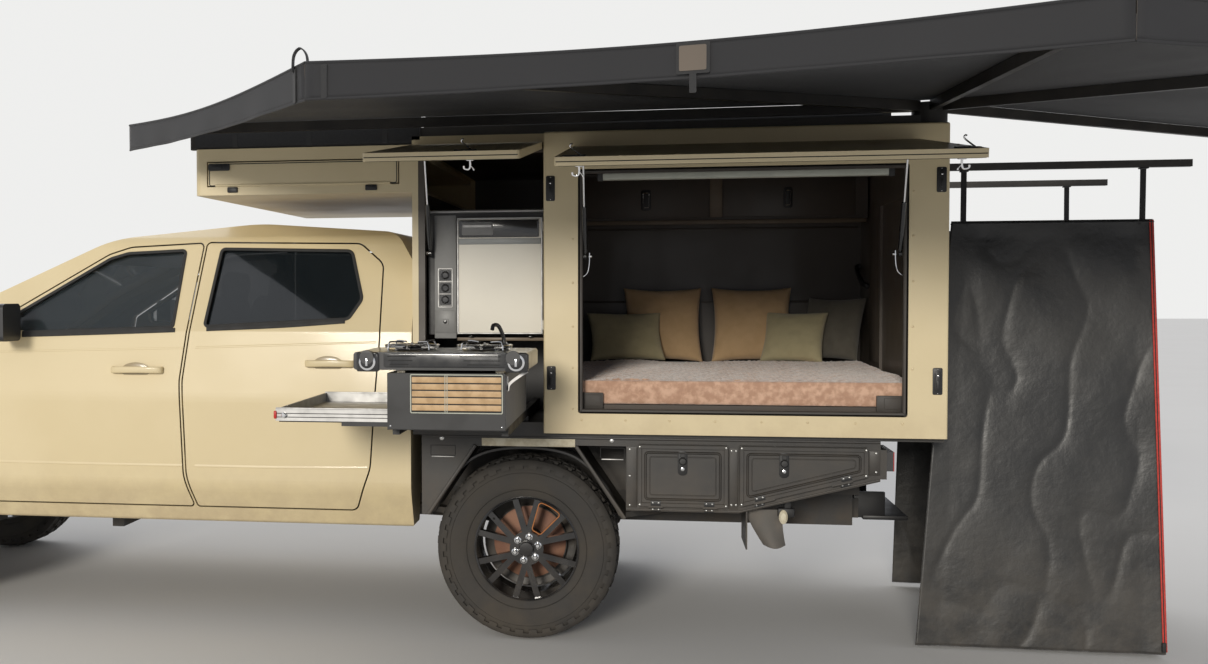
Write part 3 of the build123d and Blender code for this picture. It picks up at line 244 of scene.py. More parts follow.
def makePiece(name, parts, body, thickness=0.0, weld=0.0, sharp=35, outside=True, smoothing=0):
    # parts is {material name: [shapes]}; the mesh carries its place, the object stays at the origin
    mesh = bpy.data.meshes.new(name)
    points, faces, uv = joined([joined(shapes) for shapes in parts.values()])
    mesh.from_pydata((points + axleFoot).tolist(), [], [f for a in faces for f in a.tolist()])
    counts = [sum(len(a) for _, fs, _ in shapes for a in fs) for shapes in parts.values()]
    mesh.polygons.foreach_set("material_index", np.repeat(np.arange(len(parts)), counts).astype(np.int32))
    for finishName in parts:
        mesh.materials.append(finishes[finishName])
    if np.abs(uv).max() > 0:
        loops = np.zeros(len(mesh.loops), np.int32)
        mesh.loops.foreach_get("vertex_index", loops)
        mesh.uv_layers.new(name="cloth").data.foreach_set("uv", uv[loops].ravel().astype(np.float32))
    if weld or outside:
        work = bmesh.new()
        work.from_mesh(mesh)
        if weld:
            bmesh.ops.remove_doubles(work, verts=work.verts, dist=weld)
        if outside:
            bmesh.ops.recalc_face_normals(work, faces=work.faces)
        work.to_mesh(mesh)
        work.free()
    mesh.polygons.foreach_set("use_smooth", np.ones(len(mesh.polygons), bool))
    mesh.set_sharp_from_angle(angle=math.radians(sharp))
    mesh.update()
    piece = bpy.data.objects.new(name, mesh)
    scene.collection.objects.link(piece)
    if thickness:
        solid = piece.modifiers.new("thickness", "SOLIDIFY")
        solid.thickness = thickness
        solid.offset = -1
        solid.use_even_offset = False
    if smoothing:
        finer = piece.modifiers.new("smoothing", "SUBSURF")
        finer.levels = finer.render_levels = smoothing
    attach(piece, body)
    return piece


# Finishes

def link(tree, a, b):
    tree.links.new(a, b)


def addNode(tree, kind, **values):
    # a value belongs to the node itself, or else to its socket of that name
    node = tree.nodes.new(kind)
    for key, value in values.items():
        if hasattr(node, key):
            setattr(node, key, value)
        else:
            node.inputs[key].default_value = value
    return node


def rampOf(tree, source, low, high):
    ramp = addNode(tree, "ShaderNodeMapRange", interpolation_type="SMOOTHSTEP",
                   **{"From Min": low, "From Max": high})
    link(tree, source, ramp.inputs["Value"])
    return ramp.outputs["Result"]


def noiseOf(tree, where, scale, detail, rough=0.55):
    noise = addNode(tree, "ShaderNodeTexNoise", Scale=scale, Detail=detail, Roughness=rough)
    link(tree, where, noise.inputs["Vector"])
    return noise.outputs["Fac"]


def product(tree, a, b, operation="MULTIPLY"):
    node = addNode(tree, "ShaderNodeMath", operation=operation)
    for socket, value in zip(node.inputs, (a, b)):
        if isinstance(value, (int, float)):
            socket.default_value = value
        else:
            link(tree, value, socket)
    return node.outputs["Value"]


def blended(tree, factor, a, b):
    node = addNode(tree, "ShaderNodeMix", data_type="RGBA")
    for socket, value in ((node.inputs[0], factor), (node.inputs[6], a), (node.inputs[7], b)):
        if isinstance(value, (int, float)):
            socket.default_value = value
        elif isinstance(value, (tuple, list)):
            socket.default_value = (*value, 1)
        else:
            link(tree, value, socket)
    return node.outputs[2]


far = 50  # a zone's box is open on a side that is given as far
roughSpread = 0.06  # how much the mottled patches take from the roughness or add to it


def makeFinish(name, colour, rough, mottle, metal=0.0, coat=0.0, sheen=0.0, alpha=1.0, dust=None, grain=None,
               weave=None, zones=()):
    # mottle = (second colour, scale, amount); dust = (colour, z where it fades, z where it is full, amount)
    # grain = (scale, depth in metres) or weave = (threads per metre, depth)
    # zones = (low, high, colour), boxes in the row's frame
    material = bpy.data.materials.new(name)
    material.use_nodes = True
    tree = material.node_tree
    shader = tree.nodes["Principled BSDF"]
    place = addNode(tree, "ShaderNodeTexCoord")
    where = place.outputs["Object"]
    apart = addNode(tree, "ShaderNodeSeparateXYZ")
    link(tree, where, apart.inputs[0])
    second, scale, amount = mottle
    patch = product(tree, rampOf(tree, noiseOf(tree, where, scale, 6.0), 0.35, 0.68), amount)
    paint = blended(tree, patch, colour, second)
    roughness = product(tree, product(tree, patch, roughSpread * 2 / amount), rough - roughSpread, "ADD")
    for lowCorner, highCorner, zoneColour in zones:
        inside = None
        for axis in range(3):
            for bound, operation in ((lowCorner[axis], "GREATER_THAN"), (highCorner[axis], "LESS_THAN")):
                if abs(bound) < far:
                    test = product(tree, apart.outputs[axis], bound, operation)
                    inside = test if inside is None else product(tree, inside, test)
        paint = blended(tree, inside, paint, zoneColour)
    if dust:
        dustColour, fades, full, amount = dust
        low = product(tree, rampOf(tree, apart.outputs["Z"], fades, full), amount)
        cover = product(tree, low, rampOf(tree, noiseOf(tree, where, 9.0, 8.0, 0.65), 0.25, 0.7))
        paint = blended(tree, cover, paint, dustColour)
        roughness = product(tree, roughness, product(tree, cover, 0.3), "ADD")
    link(tree, paint, shader.inputs["Base Color"])
    link(tree, roughness, shader.inputs["Roughness"])
    even = {"Metallic": metal, "Coat Weight": coat, "Coat Roughness": 0.08, "Sheen Weight": sheen,
            "Sheen Roughness": 0.5, "Alpha": alpha}
    for socket, value in even.items():
        shader.inputs[socket].default_value = value
    if weave:
        waves = [addNode(tree, "ShaderNodeTexWave", wave_type="BANDS", bands_direction=way,
                         Scale=weave[0] * 0.314, Distortion=0.6, **{"Detail Scale": 2.0}) for way in ("X", "Y")]
        for wave in waves:
            link(tree, place.outputs["UV"], wave.inputs["Vector"])
        height = product(tree, waves[0].outputs["Fac"], waves[1].outputs["Fac"], "MAXIMUM")
        bump = addNode(tree, "ShaderNodeBump", Strength=0.6, Distance=weave[1])
    elif grain:
        height = noiseOf(tree, where, grain[0], 5.0)
        bump = addNode(tree, "ShaderNodeBump", Strength=0.5, Distance=grain[1])
    if weave or grain:
        link(tree, height, bump.inputs["Height"])
        link(tree, bump.outputs["Normal"], shader.inputs["Normal"])
    return material


def look(colour, rough, second, scale, amount, **rest):
    # rough is the roughness; second, scale and amount are those of the mottling
    return dict(colour=colour, rough=rough, mottle=(second, scale, amount), **rest)


# What a user would change: colours are linear, sizes in metres
soil = (0.34, 0.25, 0.16)
sandLook = look((0.62, 0.51, 0.30), 0.42, (0.68, 0.57, 0.36), 2.2, 0.35, coat=0.2,
                dust=(soil, 0.85, 0.42, 0.45), grain=(420, 0.00012))
finishValues = {
    "sandPaint": sandLook,
    "camperPaint": look((0.65, 0.545, 0.34), 0.46, (0.60, 0.50, 0.30), 3, 0.4, coat=0.1,
                        dust=(soil, 1.1, 0.9, 0.25), grain=(650, 0.0004), zones=(
                            # zones: the inside faces of the walls round the bed and the jambs of its opening, a
                            # dark lining colour together with painted shade
                            ((-0.335, 0.122, 0.95), (1.85, 2.032, 2.1585), (0.060, 0.047, 0.036)),
                            ((0.30, 0.078, 0.99), (1.72, 0.135, 2.04), (0.060, 0.050, 0.040)),
                            ((1.78, 0.135, 0.95), (1.812, 2.02, 2.15), (0.13, 0.108, 0.088)))),
    "doorPaint": dict(sandLook, zones=(
        ((-far, -far, -far), (far, 0.138, far), (0.02, 0.02, 0.021)),
        ((-far, 2.016, -far), (far, far, far), (0.02, 0.02, 0.021)),
        ((-far, 0.215, -far), (far, 1.939, 1.30), (0.03, 0.03, 0.032)))),
    "hobCream": look((0.60, 0.53, 0.39), 0.35, (0.52, 0.45, 0.33), 14, 0.4, coat=0.3, grain=(500, 0.0002),
                     zones=(((-far, -far, -far), (far, -0.715, far), (0.014, 0.014, 0.015)),
                            ((-0.45, -far, 1.3015), (0.14, far, far), (0.05, 0.048, 0.045)))),
    "gasketBrown": look((0.042, 0.036, 0.031), 0.6, (0.07, 0.06, 0.05), 18, 0.5, grain=(900, 0.0004)),
    # dark brown lining, darkened further as painted shade; on the hatches' inner faces it is painted shade for
    # their undersides
    "interiorDarkAndShade": look((0.050, 0.038, 0.029), 0.5, (0.075, 0.057, 0.043), 5, 0.6, grain=(260, 0.0005)),
    "interiorWarm": look((0.16, 0.12, 0.08), 0.5, (0.12, 0.09, 0.06), 9, 0.5, grain=(260, 0.0004)),
    "interiorGrey": look((0.14, 0.12, 0.10), 0.62, (0.11, 0.092, 0.076), 4, 0.5, grain=(400, 0.0004)),
    "paleRail": look((0.42, 0.43, 0.37), 0.42, (0.33, 0.34, 0.29), 14, 0.4, metal=0.3, grain=(700, 0.0002)),
    "sandRivet": look((0.58, 0.47, 0.28), 0.42, (0.50, 0.40, 0.24), 40, 0.4, coat=0.1),
    "brightRivet": look((0.62, 0.62, 0.60), 0.3, (0.45, 0.44, 0.42), 60, 0.5, metal=0.9),
    "fridgeBand": look((0.33, 0.34, 0.33), 0.4, (0.28, 0.29, 0.28), 12, 0.4),
    "creamPaint": look((0.60, 0.55, 0.42), 0.7, (0.42, 0.36, 0.24), 30, 0.8, grain=(300, 0.0006)),
    # the sand paint at half brightness: painted shade in the door handles' cups
    "shadedHandleCup": look((0.33, 0.26, 0.15), 0.35, (0.34, 0.27, 0.155), 8, 0.4, coat=0.4),
    "mirrorGlass": look((0.70, 0.72, 0.74), 0.04, (0.6, 0.62, 0.64), 3, 0.3, metal=1.0),
    "amberLens": look((0.62, 0.20, 0.02), 0.15, (0.45, 0.13, 0.01), 60, 0.4, coat=0.8),
    "tailRed": look((0.38, 0.012, 0.01), 0.12, (0.25, 0.01, 0.008), 60, 0.5, coat=0.9),
    "flapRubber": look((0.10, 0.092, 0.082), 0.75, (0.15, 0.13, 0.11), 14, 0.6, grain=(300, 0.0006)),
    "brakeBrown": look((0.21, 0.098, 0.062), 0.62, (0.30, 0.16, 0.10), 22, 0.7, metal=0.25,
                       grain=(500, 0.0006)),
    "solarBlack": look((0.02, 0.021, 0.024), 0.3, (0.05, 0.05, 0.055), 20, 0.4, metal=0.3),
    "solarCell": look((0.012, 0.018, 0.045), 0.12, (0.02, 0.03, 0.07), 10, 0.5, coat=0.8),
    "blackPowder": look((0.024, 0.022, 0.020), 0.46, (0.05, 0.043, 0.035), 7, 0.6,
                        dust=((0.20, 0.15, 0.10), 0.9, 0.45, 0.22), grain=(900, 0.0006)),
    "blackSatin": look((0.012, 0.012, 0.013), 0.5, (0.021, 0.020, 0.019), 9, 0.5, grain=(500, 0.0003)),
    "blackPlastic": look((0.02, 0.02, 0.021), 0.62, (0.045, 0.042, 0.038), 12, 0.5,
                         dust=(soil, 0.8, 0.4, 0.3), grain=(1400, 0.0005)),
    "rubber": look((0.012, 0.012, 0.012), 0.72, (0.03, 0.028, 0.025), 30, 0.4),
    "tyreRubber": look((0.030, 0.028, 0.026), 0.84, (0.062, 0.053, 0.042), 5, 0.5,
                       dust=((0.17, 0.135, 0.095), 0.9, 0.0, 0.14), grain=(260, 0.0012)),
    "rimBlack": look((0.010, 0.010, 0.011), 0.22, (0.024, 0.021, 0.018), 14, 0.3, coat=0.6,
                     dust=(soil, 0.6, 0.15, 0.06)),
    "copperPaint": look((0.50, 0.19, 0.06), 0.35, (0.33, 0.12, 0.04), 40, 0.5, metal=0.5, coat=0.4),
    "frontGlass": look((0.025, 0.035, 0.04), 0.03, (0.05, 0.06, 0.06), 1.5, 0.2, alpha=0.42, coat=1.0),
    "tintedGlass": look((0.008, 0.011, 0.013), 0.03, (0.03, 0.035, 0.04), 1.2, 0.25, alpha=0.86, coat=1.0),
    "lampLens": look((0.75, 0.76, 0.78), 0.08, (0.45, 0.47, 0.5), 20, 0.6, coat=1.0,
                     zones=(((1.0, -far, -far), (far, far, far), (0.03, 0.028, 0.027)),
                            ((1.654, -far, -far), (far, far, far), (0.36, 0.012, 0.01)))),
    "forgedSteel": look((0.15, 0.14, 0.13), 0.62, (0.19, 0.11, 0.06), 11, 0.6, metal=0.7,
                        dust=(soil, 0.7, 0.2, 0.55), grain=(240, 0.0012)),
    "chassisBlack": look((0.018, 0.018, 0.018), 0.6, (0.036, 0.031, 0.026), 9, 0.5,
                         dust=((0.17, 0.13, 0.09), 0.8, 0.35, 0.28), grain=(300, 0.0008)),
    "cabTrim": look((0.03, 0.03, 0.032), 0.7, (0.05, 0.05, 0.05), 20, 0.5, grain=(1100, 0.0006)),
    "seatCloth": look((0.035, 0.035, 0.038), 0.92, (0.06, 0.058, 0.055), 16, 0.5, sheen=0.25,
                      grain=(700, 0.001)),
    "lining": look((0.36, 0.31, 0.24), 0.68, (0.30, 0.255, 0.19), 5, 0.5, grain=(300, 0.0005)),
    "cabinetDark": look((0.045, 0.034, 0.026), 0.5, (0.075, 0.055, 0.04), 5, 0.6, grain=(240, 0.0005),
                        zones=(((-far, -far, -far), (0.21, far, far), (0.022, 0.021, 0.021)),)),
    "plush": look((0.46, 0.27, 0.18), 0.95, (0.70, 0.46, 0.33), 34, 0.85, sheen=0.8, grain=(520, 0.004)),
    "mattressCloth": look((0.42, 0.38, 0.32), 0.9, (0.36, 0.32, 0.27), 12, 0.5, sheen=0.3, grain=(900, 0.0008)),
    "pillowApricot": look((0.68, 0.46, 0.25), 0.9, (0.58, 0.38, 0.20), 14, 0.5, sheen=0.35,
                          weave=(900, 0.0006)),
    "pillowOlive": look((0.54, 0.47, 0.28), 0.9, (0.45, 0.39, 0.23), 14, 0.5, sheen=0.35, weave=(900, 0.0006)),
    "pillowShade": look((0.16, 0.145, 0.115), 0.9, (0.12, 0.108, 0.086), 14, 0.5, sheen=0.3,
                        weave=(900, 0.0006)),
    "awningTop": look((0.105, 0.084, 0.066), 0.78, (0.15, 0.122, 0.097), 2.6, 0.7, sheen=0.2,
                      weave=(420, 0.0005)),
    "awningUnder": look((0.014, 0.014, 0.016), 0.8, (0.03, 0.03, 0.032), 3, 0.5, sheen=0.1,
                        weave=(420, 0.0004)),
    "curtainCloth": look((0.012, 0.012, 0.012), 0.42, (0.03, 0.028, 0.025), 3.5, 0.6, sheen=0.5,
                         dust=((0.12, 0.1, 0.075), 0.7, 0.0, 0.3), grain=(30, 0.0035)),
    "webbing": look((0.015, 0.015, 0.016), 0.8, (0.04, 0.04, 0.04), 120, 0.5, sheen=0.2, grain=(1500, 0.0006)),
    "zipRed": look((0.52, 0.035, 0.02), 0.6, (0.33, 0.02, 0.014), 60, 0.5, sheen=0.2, grain=(1500, 0.0004)),
    "redPlastic": look((0.5, 0.02, 0.015), 0.35, (0.4, 0.015, 0.012), 60, 0.4),
    "aluminium": look((0.43, 0.425, 0.415), 0.5, (0.35, 0.345, 0.335), 18, 0.5, metal=0.9, grain=(800, 0.0002)),
    "chrome": look((0.78, 0.78, 0.78), 0.12, (0.6, 0.6, 0.6), 60, 0.3, metal=1.0),
    "fridgeFront": look((0.70, 0.66, 0.56), 0.34, (0.62, 0.58, 0.5), 3, 0.5, coat=0.2, grain=(500, 0.0002)),
    "greyPanel": look((0.20, 0.20, 0.195), 0.5, (0.26, 0.255, 0.25), 12, 0.5, grain=(900, 0.0004)),
    "enamelBlack": look((0.014, 0.014, 0.015), 0.22, (0.035, 0.033, 0.03), 16, 0.5, coat=0.6),
    "bamboo": look((0.52, 0.34, 0.17), 0.5, (0.36, 0.22, 0.1), 28, 0.7, grain=(180, 0.0005)),
    "clearLens": look((0.5, 0.52, 0.55), 0.05, (0.6, 0.6, 0.6), 4, 0.2, alpha=0.35, coat=1.0),
    "plateBlank": look((0.72, 0.72, 0.70), 0.4, (0.6, 0.6, 0.58), 10, 0.4),
}
finishes = {name: makeFinish(name, **values) for name, values in finishValues.items()}
print("finishes:", len(finishes))

# Finish of each carried-over node
nodeFinish = {
    "cab_shell": "sandPaint", "fenders": "sandPaint", "hood": "sandPaint", "front_bumper": "blackPlastic",
    "lamps": "lampLens", "chassis_frame": "chassisBlack", "powertrain": "forgedSteel",
    "front_suspension": "chassisBlack", "rear_axle": "chassisBlack", "dashboard": "cabTrim",
    "tray_frame": "blackPowder", "toolboxes": "blackPowder", "wheel_houses": "blackPowder",
    "camper_floor": "blackPowder", "left_wall": "camperPaint", "right_wall": "camperPaint",
    "rear_wall": "camperPaint", "rear_door": "camperPaint", "front_walls": "camperPaint",
    "camper_roof": "camperPaint", "luton": "camperPaint", "luton_hatch": "camperPaint",
    "main_hatch": "camperPaint", "kitchen_hatch": "camperPaint", "furniture": "cabinetDark",
    "fridge_door": "fridgeFront", "kitchen_box": "blackSatin", "side_tray": "aluminium", "hob": "hobCream",
    "roof_bars": "blackPowder", "strut_tubes": "enamelBlack", "strut_rods": "chrome",
    "kitchen_strut_tube": "enamelBlack", "kitchen_strut_rod": "chrome", "fixed_glass": "tintedGlass",
    "glass_front_left": "frontGlass", "glass_front_right": "frontGlass", "glass_rear_right": "tintedGlass",
}
manyNodes = {"door_": "doorPaint", "tyre_": "tyreRubber", "rim_": "rimBlack", "knuckle_": "forgedSteel",
             "box_door": "blackPowder"}
for name, node in nodes.items():
    byStart = [finish for start, finish in manyNodes.items() if name.startswith(start)]
    for holder in node.material_slots:
        holder.material = finishes[nodeFinish.get(name) or (byStart + ["blackPlastic"])[0]]
print("nodes finished")

# Camera, light and floor

view = dict(eye=(0.529, -6.469, 1.535), heading=-9.67, down=1.914, roll=-0.227, focal=1288.3,
            middle=(430.4, 331.9), frame=(1208, 664))


def makeCamera(v):
    heading, down, roll = (math.radians(v[k]) for k in ("heading", "down", "roll"))
    ahead = np.array([math.sin(heading) * math.cos(down), math.cos(heading) * math.cos(down), -math.sin(down)])
    right = np.array([math.cos(heading), -math.sin(heading), 0.0])
    over = np.cross(right, ahead)
    right, over = right * math.cos(roll) + over * math.sin(roll), over * math.cos(roll) - right * math.sin(roll)
    camera = bpy.data.objects.new("photoCamera", bpy.data.cameras.new("photoCamera"))
    wide, high = v["frame"]
    camera.data.sensor_width = 36
    camera.data.lens = v["focal"] / wide * 36
    camera.data.shift_x = (wide / 2 - v["middle"][0]) / wide
    camera.data.shift_y = (v["middle"][1] - high / 2) / wide
    camera.data.clip_end = 100
    place = Matrix(np.column_stack([right, over, -ahead]).tolist()).to_4x4()
    place.translation = (np.array(v["eye"]) + axleFoot).tolist()
    camera.matrix_world = place
    scene.collection.objects.link(camera)
    scene.camera = camera


lightValues = dict(sky=0.62, skyColour=(0.93, 0.95, 1.0), backdrop=(0.86, 0.86, 0.85), warmth=(1.0, 0.95, 0.86),
                   suns=(("keySun", 2.1, 12, 14, 10),
                         ("fillSun", 0.5, 40, 40, 150)))  # strength, angle, rise, bearing
floorValues = dict(colour=(0.70, 0.69, 0.67), reach=60)


def makeLight(v):
    scene.view_settings.view_transform = "Standard"
    world = bpy.data.worlds.new("studio")
    scene.world = world
    world.use_nodes = True
    tree = world.node_tree
    sky = tree.nodes["Background"]
    sky.inputs["Color"].default_value = (*v["skyColour"], 1)
    sky.inputs["Strength"].default_value = v["sky"]
    plain = addNode(tree, "ShaderNodeBackground", Color=(*v["backdrop"], 1), Strength=1.0)
    rays = addNode(tree, "ShaderNodeLightPath")
    pick = addNode(tree, "ShaderNodeMixShader")
    link(tree, rays.outputs["Is Camera Ray"], pick.inputs[0])
    link(tree, sky.outputs[0], pick.inputs[1])
    link(tree, plain.outputs[0], pick.inputs[2])
    link(tree, pick.outputs[0], tree.nodes["World Output"].inputs["Surface"])
    for name, strength, angle, rise, bearing in v["suns"]:
        lamp = bpy.data.objects.new(name, bpy.data.lights.new(name, "SUN"))
        lamp.data.energy = strength
        lamp.data.angle = math.radians(angle)
        lamp.data.color = v["warmth"] if name == "keySun" else (1, 1, 1)
        rise, bearing = math.radians(rise), math.radians(bearing)
        way = np.array([math.sin(bearing) * math.cos(rise), math.cos(bearing) * math.cos(rise),
                        -math.sin(rise)])
        across = unit(np.cross(way, [0, 0, 1.0]))
        lamp.matrix_world = Matrix(np.column_stack([across, np.cross(across, way), -way]).tolist()).to_4x4()
        scene.collection.objects.link(lamp)


def makeFloor(v):
    colour, reach = v["colour"], v["reach"]
    finish = makeFinish("floorPlain", colour, 0.9, mottle=(tuple(c * 0.97 for c in colour), 0.6, 0.5))
    mesh = bpy.data.meshes.new("floor")
    mesh.from_pydata([(-reach, -reach, 0), (reach, -reach, 0), (reach, reach, 0), (-reach, reach, 0)], [],
                     [(0, 1, 2, 3)])
    mesh.materials.append(finish)
    floor = bpy.data.objects.new("floor", mesh)
    scene.collection.objects.link(floor)


makeCamera(view)
makeLight(lightValues)
makeFloor(floorValues)
print("camera, light and floor set")

# Wheels

tyreValues = dict(radius=0.400, half=0.1325, rim=0.2293, tread=0.013, lugsRound=38, rings=112)


def tubesOf(points):
    # points[k] holds the rings of tube k: one tube's faces, with both ends closed, shifted for each tube
    count, rings, cols = points.shape[:3]
    faces = capped(gridShape(np.zeros((rings, cols, 3)), roundCols=True), cols)[1]
    start = (np.arange(count) * rings * cols)[:, None, None]
    return points.reshape(-1, 3), [(a[None] + start).reshape(-1, a.shape[1]) for a in faces], None


def tyreShapes(centre, v):
    # carcass: a smooth half-moon section turned round the axle; tread: rows of bevelled lugs set on it
    out, half, rim = v["radius"] - v["tread"], v["half"], v["rim"]
    section = [(rim, -half + 0.018), (rim + 0.016, -half + 0.012), (rim + 0.05, -half + 0.002), (0.318, -half),
               (0.345, -half + 0.002), (0.372, -half + 0.01), (out - 0.004, -half + 0.024),
               (out, -half + 0.045), (out, 0.0)]
    left = smoothLine(np.array(section), 26)
    whole = np.concatenate([left, left[-2::-1] * [1, -1]])
    carcass = turned(whole, centre, (0, 1, 0), v["rings"], closed=True)
    count = v["lugsRound"]
    step = 2 * np.pi / count
    shapes = []
    # lug rows: middle across, half width, half length round, shift round, slant, how far it drops
    rows = [(0.017, 0.014, 0.021, 0.0, 0.25, 0.0), (-0.017, 0.014, 0.021, 0.5, -0.25, 0.0),
            (0.052, 0.017, 0.019, 0.25, -0.35, 0.0), (-0.052, 0.017, 0.019, 0.75, 0.35, 0.0),
            (0.094, 0.019, 0.020, 0.5, 0.12, 0.003), (-0.094, 0.019, 0.020, 0.0, -0.12, 0.003)]
    for across, wide, long, shift, slant, drop in rows:
        base = np.array([(-1, -1), (1, -1), (1, 1), (-1, 1)], float) * [wide, long]
        base[:, 1] += base[:, 0] * slant
        levels = [(base, out - 0.004 - drop * 2), (base, v["radius"] - 0.0035 - drop),
                  (base * 0.84, v["radius"] - 0.0003 - drop)]
        angle = (np.arange(count) + shift) * step
        grid = np.array([[(a, b, r) for a, b in ring] for ring, r in levels])
        spread = angle[:, None, None] + grid[None, :, :, 1] / v["radius"]
        reach = grid[None, :, :, 2] - np.clip(np.abs(grid[None, :, :, 0] + across) - 0.088, 0, 1) * 0.42
        shapes.append(tubesOf(np.stack([centre[0] + reach * np.cos(spread),
                                        centre[1] + np.broadcast_to(grid[None, :, :, 0] + across, spread.shape),
                                        centre[2] + reach * np.sin(spread)], -1)))
    # shoulder lugs that run down the outer and inner wall: long ones, and short ones half a step on
    for wall in (-1, 1):
        angle = (np.arange(count) + (0.0 if wall < 0 else 0.5)) * step
        reach = np.array([0.352, 0.366, 0.382, 0.390])
        depth = half + np.array([0.0035, 0.0045, -0.003, -0.014])
        for skip, wide, shift in ((0, 0.30, 0.0), (1, 0.20, 0.5)):
            turnBy = (angle + shift * step)[:, None, None] + np.array([-wide, wide])[None, None, :] * step
            r = np.broadcast_to(reach[None, skip:, None], (count, len(reach) - skip, 2))
            y = centre[1] + wall * np.broadcast_to(depth[None, skip:, None], r.shape)
            outer = np.stack([centre[0] + r * np.cos(turnBy), y, centre[2] + r * np.sin(turnBy)], -1)
            inner = outer - np.array([0, wall * 0.012, 0])
            shapes.append(tubesOf(np.concatenate([outer, inner[:, :, ::-1]], axis=2)))
    # two raised rings on each wall
    for wall in (-1, 1):
        for r, y in ((0.262, half - 0.004), (0.335, half)):
            shapes.append(turned([(r - 0.003, wall * (y - 0.004)), (r, wall * (y + 0.0016)),
                                  (r + 0.003, wall * (y - 0.004))], centre, (0, 1, 0), v["rings"], closed=True))
    return [carcass] + shapes


frontAxle = -3.27
wheelValues = dict(halfTrack=0.78, boltRing=0.052, bolts=6, face=0.106)


def wheelDress(centre, side, v):
    # nuts, washers, cap, lip and valve turned about their axes; a copper band round one window of the spokes
    face, out = centre[1] + side * v["face"], (0, side, 0)
    turnBy = np.arange(v["bolts"]) * 2 * np.pi / v["bolts"] + 0.3
    spots = [(centre[0] + v["boltRing"] * math.cos(a), face, centre[2] + v["boltRing"] * math.sin(a))
             for a in turnBy]
    nuts = [turned([(0.0115, 0), (0.0115, 0.014), (0.008, 0.019)], spot, out, 6) for spot in spots]
    washers = [turned([(0.016, 0), (0.016, 0.004), (0.013, 0.006)], spot, out, 16) for spot in spots]
    cap = [turned([(0.033, 0), (0.033, 0.016), (0.029, 0.022), (0.012, 0.0235)], (centre[0], face, centre[2]),
                  out, 28)]
    lip = [turned([(0.2285, side * 0.100), (0.2285, side * 0.1195), (0.2245, side * 0.1215),
                   (0.2205, side * 0.1175), (0.2205, side * 0.100)], centre, (0, 1, 0), 72, closed=True)]
    # The band: an arc near the barrel and two runs along the spokes, in the disc's plane
    a0, a1 = math.radians(45.6), math.radians(74.4)
    arc = [(0.2115 * math.cos(a), 0.2115 * math.sin(a)) for a in np.linspace(a0, a1, 7)]
    inner = [(0.084 * math.cos(a), 0.084 * math.sin(a)) for a in np.linspace(a1, a0, 4)]
    ring = roundedRing([(x, z, 0.012 if k in (0, 6, 7, 10) else 0.0001)
                        for k, (x, z) in enumerate(arc + inner)], 4)
    path = np.stack([centre[0] + ring[:, 0], np.full(len(ring), face + side * -0.003), centre[2] + ring[:, 1]],
                    -1)
    band = [carried(slab(0.005, 0.012, 0.0015, 2), path, up=(0, 1, 0), closed=True)]
    valve = [turned([(0.004, 0), (0.004, 0.03), (0.0028, 0.034)],
                    (centre[0] - 0.15, centre[1] + side * 0.085, centre[2] + 0.135), (0.3, side, -0.3), 10)]
    return {"rimBlack": lip + cap, "chrome": nuts + washers, "copperPaint": band, "rubber": valve}


for place, axleX in (("front", frontAxle), ("rear", 0.0)):
    for sideName, side in sides:
        centre = np.array([axleX, side * wheelValues["halfTrack"], tyreValues["radius"]])
        body = f"{place}_wheel_{sideName}"
        tyre = makePiece(f"{place}Tyre_{sideName}", {"tyreRubber": tyreShapes(centre, tyreValues)}, body)
        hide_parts(f"tyre_{place}_{sideName}")
        makePiece(f"{place}WheelNuts_{sideName}", wheelDress(centre, side, wheelValues), body)
print("wheels done")

# Awning

awningValues = dict(pivot=(1.660, -0.880, 2.296), sag=0.034, bow=0.012, valance=0.108, lift=0.004,
                    tips=((-1.730, -1.062, 2.255), (-0.483, -2.720, 2.205), (1.630, -3.250, 2.205),
                          (3.330, -2.560, 2.210), (3.900, 0.450, 2.225)))


